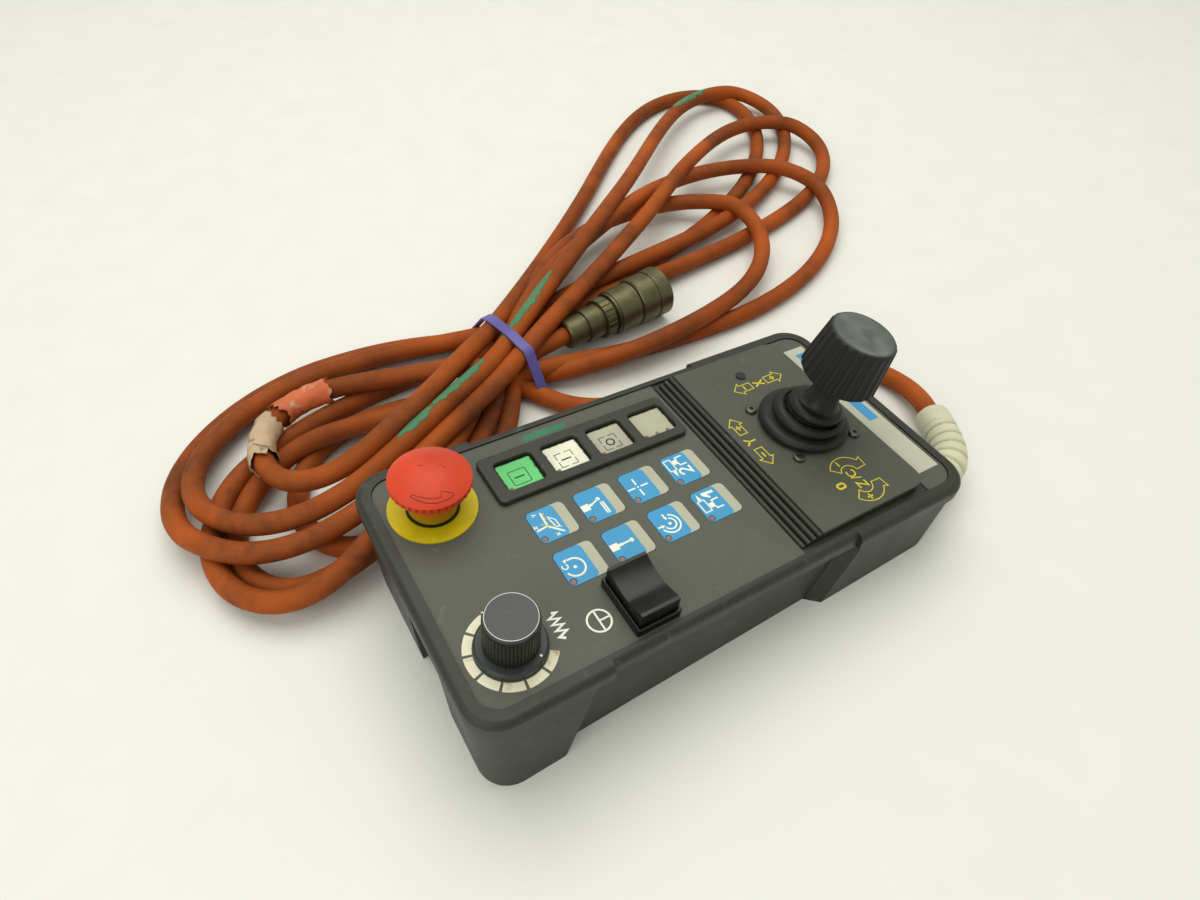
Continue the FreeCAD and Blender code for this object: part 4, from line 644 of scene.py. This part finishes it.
def straight_arrow(ink, x, y, way_x, way_y, plus):
    """Outline of a broad arrow from the middle of its tail, with its sign."""
    def at(along, across):
        return (x + along * way_x - across * way_y, y + along * way_y + across * way_x)
    ink.line([at(0, ARROW_HALF), at(0, -ARROW_HALF), at(ARROW_NECK, -ARROW_HALF), at(ARROW_NECK, -ARROW_BARB),
              at(ARROW_TIP, 0), at(ARROW_NECK, ARROW_BARB), at(ARROW_NECK, ARROW_HALF)], 0.5, True)
    sign(ink, *at(ARROW_SIGN, 0), plus)


def curved_arrow(ink, x, y, side, plus):
    """Outline of a bent broad arrow round a centre, to one side, with its sign."""
    band = arc(0, 0, 10.0, 147, 30, 16) + [(10.9, 6.2), (10.4, 0.6), (4.9, 0.3)] + arc(0, 0, 4.6, 20, 160, 14)
    ink.line([(x + side * across, y - along) for along, across in band], 0.5, True)
    sign(ink, x + side * 7.0, y + 2.2, plus)


yellow = Ink(0, 0, top_of("joystick_plate"))
# The arrows along, with an X between them
straight_arrow(yellow, 34.3, -73.3, 0, 1, False)
straight_arrow(yellow, 34.3, -83.1, 0, -1, True)
for lean in (-1.7, 1.7):
    yellow.line([(33.9 - lean, -75.2), (33.9 + lean, -81.4)], 0.9)
# The arrows across, with a Y
straight_arrow(yellow, 7.0, -46.2, 1, 0, True)
straight_arrow(yellow, -4.0, -46.2, -1, 0, False)
yellow.line([(1.4, -49.2), (1.4, -45.6), (3.4, -43.0)], 0.9)
yellow.line([(1.4, -45.6), (-0.8, -43.0)], 0.9)
# The turns, with a C, a stroke, a Z and a nought
curved_arrow(yellow, -37.7, -77.2, 1, False)
curved_arrow(yellow, -46.3, -77.2, -1, True)
yellow.line(arc(-37.9, -77.0, 2.2, 45, 320, 16), 0.8)
yellow.line([(-40.4, -74.6), (-42.3, -80.0)], 0.6)
yellow.line([(-44.0, -79.6), (-47.6, -79.6), (-44.0, -74.8), (-47.6, -74.8)], 0.8)
yellow.line([(-42.1 + x, -66.6 + y) for x, y in rounded(1.35, 2.1, 1.1)], 1.1, True)
yellow.print("plate_signs", "print_yellow", "case", "stop_yellow")


# Marks on the speed knob

rim = Ink(*SPEED, top_of("speed_cap"))
rim.line(arc(0, 0, 10.2, 0, 354, 59), 0.22, True)
rim.patch([(6.0, 8.2), (6.9, 8.6), (6.6, 9.3)])
rim.print("cap_rim", "print_white", "speed_dial", "key_white")
pointer = Ink(*SPEED, top_of("speed_skirt")).dot(-10.6, -7.4, 0.55)
pointer.print("skirt_dot", "print_white", "speed_dial", "key_white")


# Lines carved into the stop head, laid on its dome as dark red ribbons: painted shade of the grooves

STOP = Vector((-107.0, 37.3))
ABOVE_DOME = 60
CARVED = 0.05
# The arrow's outer and inner edge, its head and two scratches, each with its width
CARVINGS = [
    ([(-12.0, -7.9), (-11.0, -9.9), (-9.5, -11.7), (-7.8, -13.5), (-5.8, -14.7), (-3.6, -15.6),
      (-1.3, -15.9), (1.8, -15.9), (4.7, -14.9)], 0.35),
    ([(-11.4, -7.6), (-10.1, -9.0), (-8.3, -10.8), (-5.7, -12.8), (-2.7, -14.0), (-1.0, -14.2)], 0.3),
    ([(-1.0, -14.2), (-0.4, -13.3), (0.2, -12.2), (2.4, -13.2), (4.7, -14.3)], 0.35),
    ([(-3.6, 3.4), (-2.5, 3.1), (-1.5, 2.6)], 0.3),
    ([(4.6, 0.1), (5.8, -1.2), (6.6, -2.9)], 0.3)]
dome_mesh = frame["nodes"]["stop_head"].data
dome = BVHTree.FromPolygons([vertex.co for vertex in dome_mesh.vertices],
                            [polygon.vertices for polygon in dome_mesh.polygons])


def on_dome(spot):
    """The dome's surface under a spot of the head's plane, in millimetres."""
    above = PANEL @ (Vector((*(STOP + spot), ABOVE_DOME)) * MM)
    place, normal = dome.ray_cast(above, -PANEL_UP)[:2]
    return (place + normal * CARVED * MM) / MM


carved_points = []
carved_faces = []
for corners, width in CARVINGS:
    path = [Vector(corner) for corner in corners]
    first = len(carved_points)
    for index, corner in enumerate(path):
        way = path[min(index + 1, len(path) - 1)] - path[max(index - 1, 0)]
        side = way.orthogonal().normalized() * width / 2
        carved_points += [on_dome(corner + side), on_dome(corner - side)]
    for step in range(first, len(carved_points) - 2, 2):
        carved_faces.append((step + 1, step + 3, step + 2, step))
add_piece("stop_arrow", carved_points, carved_faces, "carved_red", "stop_mushroom",
          smooth=False, thick=PRINT_DEEP)


# Joystick boot

BOOT_SIDES = 56
BOOT_WALL = 1.2
BOOT_FOOT = 10.85
FOOT_HELD = BOOT_FOOT + 1
BOOT_SPLIT = 20.9
BOOT_NECK = 27.0
NECK_HELD = BOOT_NECK + 3
FOLD_TURNS = range(-80, 91, 17)
# Each fold of the boot: its lowest and highest height over the pivot, its radius and its bulge
FOLDS = [(BOOT_FOOT, 16.0, 23.2, 3.4), (15.7, 21.0, 18.6, 3.2), (20.7, 26.4, 14.2, 3.2)]
# The upper half's lip closes the gap to the lower half
LIP = [(21.0, 15.7), (20.7, 14.8), (20.6, 13.2)]
NECK = [(27.2, 9.6), (29.5, 8.6), (32.5, 7.7), (36.0, 7.0), (40.0, 6.5), (43.0, 6.2)]


def ease(share):
    return share * share * (3 - 2 * share)


def fold(low, high, radius, bulge):
    """Heights and radii along one fold."""
    turns = [math.radians(turn) for turn in FOLD_TURNS]
    middle = (low + high) / 2
    half = (high - low) / 2
    return [(middle + half * math.sin(turn), radius - bulge + bulge * math.cos(turn)) for turn in turns]


def boot_point(height, radius, angle):
    """A point of the boot, whose axis bends from upright at its foot to the stick's lean at its neck."""
    share = min(1, max(0, (height - BOOT_FOOT) / (BOOT_NECK - BOOT_FOOT)))
    turn = Quaternion().slerp(LEAN, ease(share))
    spot = Vector((radius * math.cos(angle), radius * math.sin(angle), height))
    return PIVOT @ (turn @ spot * MM)


def boot_piece(name, outline, ends):
    """One half of the boot, a wall turned about the leaning axis, on no body; its ends change nothing."""
    wall = outline + [(height, radius - BOOT_WALL) for height, radius in outline[::-1]]
    points = []
    for height, radius in wall:
        for side in range(BOOT_SIDES):
            points.append(boot_point(height, radius, math.tau * side / BOOT_SIDES) / MM)
    faces = grid_faces(len(wall), BOOT_SIDES, close_rows=True)
    piece = add_piece(name, points, faces, "boot_rubber", None)
    boot_point(ends[0], 0, 0)
    boot_point(ends[1], 0, 0)
    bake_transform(piece)
    return piece


lower_boot = boot_piece("boot_folds", fold(*FOLDS[0]) + fold(*FOLDS[1]),
                        (FOOT_HELD, BOOT_SPLIT))
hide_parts("boot_lower")
upper_boot = boot_piece("boot_neck", LIP + fold(*FOLDS[2]) + NECK,
                        (BOOT_SPLIT, NECK_HELD))
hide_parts("boot_upper")


# Cable

CABLE = 11.5
RELIEF_ROUTE = [(133, -50.6, 22.1), (146, -49, 21.6), (158.5, -42, 19.6), (170, -28.8, 16.3)]
LEAD_ROUTE = [
    (180, -11, 13), (187, 1.46, 10.69), (191, 15.5, 8), (190, 30, 6.3), (184, 44.5, 6), (173.5, 58, 6.2),
    (158.5, 69, 6), (139, 77.5, 6), (116, 83.5, 6.2), (91, 87, 6), (66, 89, 6), (42, 92, 6.2), (21, 98, 6),
    (5, 109, 6.2), (-5, 124.5, 6)]
TAIL_ROUTE = [(-2, 151, 17), (13, 154, 17.4), (28, 156, 17)]
# Lobes of the figure-eight hank: reach and width in mm, headings in degrees on the way out, at the tip and on
# the way back, slimness of the neck out and back, and the strand's rank in the pile out and back
LEFT_LOBES = [(154, 66, 196, 182, 194, 1.4, 1.4, 6, 6), (194, 66, 187, 190, 189, 0.6, 0.6, 5, 5),
              (206, 68, 185, 194, 185, 0.8, 0.8, 4, 4), (206, 67, 201, 206, 202, 0.9, 0.9, 3, 3),
              (194, 72, 204, 198, 203, 1.2, 1.2, 2, 2), (156, 66, 208, 196, 208, 1.5, 1.5, 1, 1)]
RIGHT_LOBES = [(404, 86, 40, 33, 20, 4.2, 1.4, 0, 0), (412, 89, 35, 29, 18, 5.5, 1.5, 7, 1),
               (382, 89, 23.5, 21, 18, 4.0, 2.2, 8, 2), (312, 77, 11, 15, 6, 0.9, 1.1, 5, 5),
               (232, 70, 22, 17, 9, 1.1, 0.7, 4, 6)]
LOBE_POINTS = 44
LOBE_SKIP = 2
# Seats of the strands in the tie: steps along it and level, for strands that cross it over and under
TIE = np.array((-10, 160))
TIE_WAY = np.array((math.cos(math.radians(99)), math.sin(math.radians(99))))
SEAT_STEP = 12.2
LEVELS = (6.0, 16.2, 26.4)
SEATS_OVER = [(1, 2), (0, 2), (-1, 2), (0.5, 1), (0, 0), (-0.5, 1)]
SEATS_UNDER = [(-2, 0), (1.5, 1), (2, 0), (1, 0), (-1.5, 1), (-1, 0)]
# The far left corner of the case, which the strands keep clear of
CASE_CORNER = np.array((-119.5, 52.8))
CORNER_CLEAR = 21.5
# The connector: the place of its back, its direction and the radius of each stretch up to a distance
PLUG = np.array((28.0, 156.0))
PLUG_HIGH = 17.0
PLUG_WAY = np.array((math.cos(math.radians(6.6)), math.sin(math.radians(6.6))))
PLUG_SIDE = np.array((-PLUG_WAY[1], PLUG_WAY[0]))
PLUG_ENDS = (-6, 14, 26.3, 36, 54, 84)
PLUG_RADII = np.array((0, 9.5, 10.8, 13.2, 14.8, 16.6, 0))
# Rank of the strand that lies over the connector
OVER_PLUG = 8
# Points this near along the cable leave each other alone; points less free than this aren't lifted
OWN_POINTS = 5
FREE = 0.3
# How strands spread: rounds, cosine and share of a step for side by side, longest push, shares of each move
SPREAD_ROUNDS = 80
SPREAD_COSINE = 0.8
SPREAD_STEP = 0.6
SPREAD_PUSH = 0.25
SPREAD_MOST = 2
SPREAD_BEND = 0.4
SPREAD_HOME = 0.03
SPREAD_PLUG = 0.9
EVEN_ROUNDS = 8
EVEN_SHARE = 0.5
# How they drop: rounds, stiffness to the next points and to the third ones, fall, and share of a lift
DROP_ROUNDS = 200
DROP_STIFF = 0.45
DROP_STIFF_FAR = 0.12
DROP_FALL = 0.25
DROP_LIFT = 0.8
# Where strands leave their seats, as shares of the way out, and how they are evened up to a neck and past it
SEAT_END = 0.03
SEAT_FADE = 0.25
NECK_END = 0.45
NECK_EVEN = 0.36
TIP_EVEN = 0.12
NECK_ROUNDS = 8


def sag(points, reach=1):
    """How far points lie from the middle between their neighbours on either side."""
    return (points[:-2 * reach] + points[2 * reach:]) / 2 - points[reach:-reach]


def lobe(shape, over, under):
    """Points of one loop, out from its seat and back to another: x, y, seat level, distance out, rank."""
    reach, width, way_out, tip, way_back, slim_out, slim_back, high_out, high_back = shape
    points = []
    for step in range(LOBE_SKIP, LOBE_POINTS - LOBE_SKIP):
        share = (step + 0.5) / LOBE_POINTS
        angle = math.tau * share
        leaving = share < 0.5
        out = (1 - math.cos(angle)) / 2
        aside = width * math.sin(angle) * math.sin(angle / 2) ** (slim_out if leaving else slim_back)
        way = tip + ((way_out if leaving else way_back) - tip) * (1 - out)
        lean = math.radians(way + out * (tip - (way_out + way_back) / 2))
        steps = over[0] + (under[0] - over[0]) * ease(share)
        x, y = TIE + steps * SEAT_STEP * TIE_WAY
        x += reach * out * math.cos(math.radians(way)) - aside * math.sin(lean)
        y += reach * out * math.sin(math.radians(way)) + aside * math.cos(lean)
        level = LEVELS[(over if leaving else under)[1]]
        points.append((x, y, level, out, high_out if leaving else high_back))
    return points


def keep_off_case(flat):
    """Move points out of the case's corner."""
    gap = flat - CASE_CORNER
    distance = np.hypot(np.minimum(gap[:, 0], 0), gap[:, 1])
    grow = np.where(distance < CORNER_CLEAR, CORNER_CLEAR / np.maximum(distance, 1), 1)
    flat[:, 1] = CASE_CORNER[1] + gap[:, 1] * grow
    flat[:, 0] = np.where(gap[:, 0] < 0, CASE_CORNER[0] + gap[:, 0] * grow, flat[:, 0])


def beside_plug(flat):
    """Distance of points to the side of the connector's axis, and how far out a strand clears it."""
    gap = flat - PLUG
    radius = PLUG_RADII[np.searchsorted(PLUG_ENDS, gap @ PLUG_WAY)]
    return gap @ PLUG_SIDE, np.where(radius > 0, radius + CABLE / 2, 0)


def spread(flat, loose, rank):
    """Strands that run side by side push each other apart, keep their bends and go round the connector."""
    home = flat.copy()
    rest = sag(flat)
    index = np.arange(len(flat))
    apart = np.abs(index[:, None] - index) > OWN_POINTS
    for _ in range(SPREAD_ROUNDS):
        way = np.gradient(flat, axis=0)
        step = np.linalg.norm(way, axis=1)
        way /= step[:, None]
        normal = np.stack((-way[:, 1], way[:, 0]), axis=1)
        gap = flat[:, None] - flat
        along = np.abs((gap * way).sum(axis=2))
        aside = (gap * normal).sum(axis=2)
        alike = np.abs(way @ way.T) > SPREAD_COSINE
        near = apart & alike & (along < SPREAD_STEP * step) & (np.abs(aside) < CABLE)
        push = np.where(near, np.sign(aside) * (CABLE - np.abs(aside)), 0) * SPREAD_PUSH
        move = (push[..., None] * normal).sum(axis=1)
        move /= np.maximum(1, np.linalg.norm(move, axis=1) / SPREAD_MOST)[:, None]
        flat += move * loose[:, None]
        flat[1:-1] += SPREAD_BEND * (sag(flat) - rest) * loose[1:-1, None]
        flat += SPREAD_HOME * (home - flat)
        keep_off_case(flat)
        aside, clear = beside_plug(flat)
        short = np.where(rank < OVER_PLUG, np.maximum(0, clear - np.abs(aside)), 0)
        flat += (SPREAD_PLUG * np.sign(aside) * short)[:, None] * PLUG_SIDE
    moved = flat - home
    for _ in range(EVEN_ROUNDS):
        moved[1:-1] += EVEN_SHARE * sag(moved)
    return home + moved


def crossings(flat, loose, rank):
    """Where a strand passes over another: the two points, the share of the run and the height to climb."""
    found = []
    runs = np.diff(flat, axis=0)
    for over in np.flatnonzero(loose > FREE):
        share = ((flat[over] - flat[:-1]) * runs).sum(axis=1) / (runs * runs).sum(axis=1)
        share = np.clip(share, 0, 1)
        distance = np.linalg.norm(flat[over] - flat[:-1] - share[:, None] * runs, axis=1)
        for under in np.flatnonzero((distance < CABLE) & (loose[:-1] > FREE)):
            higher = (rank[over], over) > (rank[under], under)
            if higher and abs(over - under) > OWN_POINTS:
                found.append((over, under, share[under], math.sqrt(CABLE ** 2 - distance[under] ** 2)))
    return found


def drop(flat, seats, loose, rank):
    """Heights of the strands: they sink to the floor, stay stiff and rest on what lies below them."""
    over, under, share, climb = (np.array(column) for column in zip(*crossings(flat, loose, rank)))
    aside, clear = beside_plug(flat)
    crest = PLUG_HIGH + np.sqrt(np.maximum(0, clear ** 2 - aside ** 2))
    floor = np.where((rank == OVER_PLUG) & (np.abs(aside) < clear), crest, LEVELS[0])
    height = seats * (1 - loose) + LEVELS[0] * loose
    for _ in range(DROP_ROUNDS):
        height[1:-1] += DROP_STIFF * sag(height) * loose[1:-1]
        height[3:-3] += DROP_STIFF_FAR * sag(height, 3) * loose[3:-3]
        height -= DROP_FALL * loose
        bed = height[under] * (1 - share) + height[under + 1] * share + climb
        lift = np.zeros(len(height))
        np.maximum.at(lift, over, np.maximum(0, bed - height[over]))
        height += DROP_LIFT * lift * loose
        height = np.maximum(height, floor)
    return height


hank = []
for index, shape in enumerate(LEFT_LOBES):
    hank += lobe(shape, SEATS_OVER[index], SEATS_UNDER[index])[::-1]
    if index < len(RIGHT_LOBES):
        hank += lobe(RIGHT_LOBES[index], SEATS_OVER[index], SEATS_UNDER[index + 1])
hank = np.array(hank)
level, out, rank = hank[:, 2:].T
loose = ease(np.clip((out - SEAT_END) / SEAT_FADE, 0, 1))
flat = spread(hank[:, :2].copy(), loose, rank)
laid = np.column_stack((flat, drop(flat, level, loose, rank)))
even = np.where(out[1:-1] < NECK_END, NECK_EVEN, TIP_EVEN)[:, None]
for _ in range(NECK_ROUNDS):
    laid[1:-1] += even * sag(laid)

cable_data = bpy.data.curves.new("cable", "CURVE")
cable_data.dimensions = "3D"
spline = cable_data.splines.new("NURBS")
route = RELIEF_ROUTE + LEAD_ROUTE + laid.tolist() + TAIL_ROUTE
spline.points.add(len(route) - 1)
for control, point in zip(spline.points, route):
    control.co = (*(Vector(point) * MM), 1)
spline.order_u = 3
spline.use_endpoint_u = True
spline.resolution_u = 4
cable = add_object("cable", cable_data)
line_mesh = bpy.data.meshes.new_from_object(cable)
line = [vertex.co.copy() for vertex in line_mesh.vertices]
bpy.data.meshes.remove(line_mesh)
cable_data.bevel_depth = CABLE / 2 * MM
cable_data.bevel_resolution = 5
cable_data.use_fill_caps = True
cable_data.materials.append(LOOKS["cable_orange"])
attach(cable, "case")
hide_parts("cable_lead", "cable_hank", "cable_tail")


# Pieces along the cable

marks = [0.0]
for before, after in zip(line, line[1:]):
    marks.append(marks[-1] + (after - before).length)
last = len(line) - 1
# Headings of the cable, over two samples either way
ways = [(line[min(spot + 2, last)] - line[max(spot - 2, 0)]).normalized() for spot in range(last + 1)]


def ring_at(distance, radii, start=0.0, end=math.tau):
    """Points in mm round the cable at a distance along it, from its side over its top."""
    index = min(max(bisect(marks, distance) - 1, 0), last - 1)
    share = (distance - marks[index]) / (marks[index + 1] - marks[index])
    place = line[index].lerp(line[index + 1], share)
    heading = ways[index].lerp(ways[index + 1], share).normalized()
    side = heading.cross(UP).normalized()
    top = side.cross(heading)
    points = []
    for count, radius in enumerate(radii):
        angle = start + (end - start) * count / len(radii)
        points.append(place / MM + (side * math.cos(angle) + top * math.sin(angle)) * radius)
    return points


def nearest(x, y, z):
    """Distance along the cable of its sample nearest to a point in mm."""
    target = Vector((x, y, z)) * MM
    return marks[min(range(len(line)), key=lambda index: (line[index] - target).length)]


RELIEF_START = 3.2
RELIEF_LENGTH = 64.0
RELIEF_SIDES = 64
RELIEF_ROWS = 153
RELIEF_STEP = 0.4
RELIEF_WALL = 0.7
# The coil ends at the collar; its turns rise from the bore and taper, with gaps between their round edges
COIL_END = 50.5
COIL_PITCH = 8.2
COIL_BORE = 6.5
COIL_RISE = 2.7
COIL_TAPER = 0.005
COIL_GAP = 1.1
COIL_EDGE = 0.8
COLLAR_RADIUS = 9.0
COLLAR_EDGE = 1.2


def relief_radius(along, turn):
    """A coiled sleeve with open gaps between its turns, and a plain collar at the cable's end."""
    if along > COIL_END:
        edge = min(along - COIL_END, RELIEF_LENGTH - along)
        return COLLAR_RADIUS - COLLAR_EDGE * max(0, 1 - edge / COLLAR_EDGE) ** 2
    phase = (along / COIL_PITCH + turn) % 1
    gap = min(phase, 1 - phase) * COIL_PITCH
    rise = min(1, max(0, (gap - COIL_GAP) / COIL_EDGE))
    return COIL_BORE + (COIL_RISE - COIL_TAPER * along) * math.sqrt(rise * (2 - rise))


relief_points = []
for row in range(RELIEF_ROWS):
    along = RELIEF_START + RELIEF_STEP * row
    radii = [relief_radius(along, side / RELIEF_SIDES) for side in range(RELIEF_SIDES)]
    relief_points += ring_at(along * MM, radii)
relief = add_piece("relief_coil", relief_points, grid_faces(RELIEF_ROWS, RELIEF_SIDES), "relief_beige",
                   "case", thick=RELIEF_WALL)
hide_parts("strain_relief")

# The tie hugs the strands where they pass its plane
TIE_WIDTH = 6.4
TIE_THICK = 1.0
TIE_SECTION = ((0, -1), (0, 1), (TIE_THICK, 1), (TIE_THICK, -1))
TIE_ROUND = CABLE / 2 + 0.6
TIE_REACH = 33
TIE_STEPS = 144
TIE_WAVE = 0.5
TIE_WAVE_START = 0.6
TIE_FLOOR = 0.1
tie_middle = Vector((*TIE, 0))
heading = Vector((*TIE_WAY, 0))
strand_way = heading.cross(UP)
passes = []
for before, after in zip(line, line[1:]):
    for edge in (-TIE_WIDTH / 2, 0, TIE_WIDTH / 2):
        near, far = ((spot / MM - tie_middle).dot(strand_way) - edge for spot in (before, after))
        if near * far < 0:
            spot = before.lerp(after, near / (near - far)) / MM - tie_middle
            if abs(spot.dot(heading)) < TIE_REACH:
                passes.append((spot.dot(heading), spot.z))
tie_points = []
for step in range(TIE_STEPS):
    turn = math.tau * step / TIE_STEPS
    across, up = max(passes, key=lambda spot: spot[0] * math.cos(turn) + spot[1] * math.sin(turn))
    wave = TIE_WAVE * math.sin(3 * turn + TIE_WAVE_START)
    for reach, edge in TIE_SECTION:
        spot = tie_middle + heading * (across + (TIE_ROUND + reach) * math.cos(turn))
        spot += strand_way * (wave + edge * TIE_WIDTH / 2)
        spot.z = max(TIE_FLOOR * (1 + reach), up + (TIE_ROUND + reach) * math.sin(turn))
        tie_points.append(spot)
tie = add_piece("tie_band", tie_points, grid_faces(TIE_STEPS, len(TIE_SECTION), close_rows=True),
                "tie_violet", "case", smooth=False)
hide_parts("cable_tie")

SLEEVE_SIDES = 26
SLEEVE_ROWS = 18
SLEEVE_FLARE = 0.8
SLEEVE_DENTS = (-0.25, 0.45)
SLEEVE_WALL = 0.3
SMEAR_COLUMNS = 7
SMEAR_ROWS = 8
SMEAR_STEP = 2
SMEAR_TIP = 0.03
SMEAR_WIDTHS = (0.65, 1.1)
SMEAR_SWAY = 6
SMEAR_HIGH = 0.08
SMEAR_DEEP = 0.25
tatter = random.Random(7)


def wrap(name, middle, length, radius, ragged):
    """A loose worn sleeve round the cable, with torn ends."""
    torn = [(tatter.uniform(0, ragged), tatter.uniform(0, ragged)) for _ in range(SLEEVE_SIDES)]
    dents = [[tatter.uniform(*SLEEVE_DENTS) for _ in range(SLEEVE_SIDES)] for _ in range(SLEEVE_ROWS)]
    points = []
    for row in range(SLEEVE_ROWS):
        share = row / (SLEEVE_ROWS - 1)
        flare = SLEEVE_FLARE * abs(2 * share - 1) ** 3
        for side, (low, high) in enumerate(torn):
            along = (share - 0.5) * length + high * share - low * (1 - share)
            bumps = (dents[row][side] + dents[row][side - 1] + dents[row - 1][side]) / 2
            points.append(ring_at(middle + along * MM, [radius + flare + bumps] * SLEEVE_SIDES)[side])
    faces = grid_faces(SLEEVE_ROWS, SLEEVE_SIDES)
    return add_piece(name, points, faces, name, "case", thick=SLEEVE_WALL)


sleeves = [wrap("sleeve_red", nearest(-131, 182, 17), 30, 6.7, 4),
           wrap("sleeve_clear", nearest(-160, 156, 20), 26, 6.9, 6)]


def smear(name, middle, length, width, lean):
    """A ragged smear of green paint on top of the cable; its width and lean are angles in degrees."""
    rows = max(SMEAR_ROWS, int(length / SMEAR_STEP))
    radii = [CABLE / 2 + SMEAR_HIGH] * SMEAR_COLUMNS
    points = []
    for row in range(rows):
        share = row / (rows - 1)
        swell = math.sqrt(math.sin(math.pi * min(1 - SMEAR_TIP, max(SMEAR_TIP, share))))
        half = width / 2 * swell * tatter.uniform(*SMEAR_WIDTHS)
        centre = 90 + lean + tatter.uniform(-SMEAR_SWAY, SMEAR_SWAY)
        points += ring_at(middle + (share - 0.5) * length * MM, radii,
                          math.radians(centre + half), math.radians(centre - half))
    faces = grid_faces(rows, SMEAR_COLUMNS, close_columns=False)
    return add_piece(name, points, faces, "paint_green", "case", thick=SMEAR_DEEP)


smears = [smear("paint_1", nearest(-88, 112, 33), 26, 90, 10),
          smear("paint_2", nearest(-55, 130, 33), 48, 120, 15),
          smear("paint_3", nearest(14, 175, 28), 70, 120, 20),
          smear("paint_4", nearest(285, 381, 15), 52, 170, 10)]


# Stage, light and camera

FLOOR = [(-4, -4, 0), (4, -4, 0), (4, 4, 0), (-4, 4, 0)]
floor_mesh = bpy.data.meshes.new("floor")
floor_mesh.from_pydata(FLOOR, [], [(0, 1, 2, 3)])
floor_mesh.materials.append(LOOKS["floor_white"])
floor = add_object("floor", floor_mesh)


def add_light(name, place, aim, size, power, colour):
    """A square lamp at a place, turned to an aim."""
    data = bpy.data.lights.new(name, "AREA")
    data.size = size
    data.energy = power
    data.color = colour
    light = add_object(name, data)
    light.location = place
    light.rotation_euler = (Vector(aim) - Vector(place)).to_track_quat("-Z", "Y").to_euler()


add_light("ceiling", (0.2, 0.5, 1.6), (0.05, 0.1, 0), 1.6, 20, (1, 1, 0.92))
add_light("side", (-1.2, -0.5, 0.9), (0, 0.05, 0.03), 1.0, 6, (1, 1, 0.94))
world = bpy.data.worlds.new("room")
world.use_nodes = True
room_light = world.node_tree.nodes["Background"].inputs
room_light["Color"].default_value = (0.99, 1.0, 0.92, 1)
room_light["Strength"].default_value = 0.58
bpy.context.scene.world = world
bpy.context.scene.view_settings.view_transform = "Standard"

camera_data = bpy.data.cameras.new("camera")
camera_data.lens = 23.273
camera_data.sensor_width = 36
camera_data.clip_start = 0.01
camera = add_object("camera", camera_data)
camera.location = (-0.15427, -0.17616, 0.34066)
gaze = Vector((0.00482, 0.07475, 0)) - camera.location
camera.rotation_mode = "QUATERNION"
roll = Quaternion((0, 0, 1), math.radians(1.279))
camera.rotation_quaternion = gaze.to_track_quat("-Z", "Y") @ roll
bpy.context.scene.camera = camera
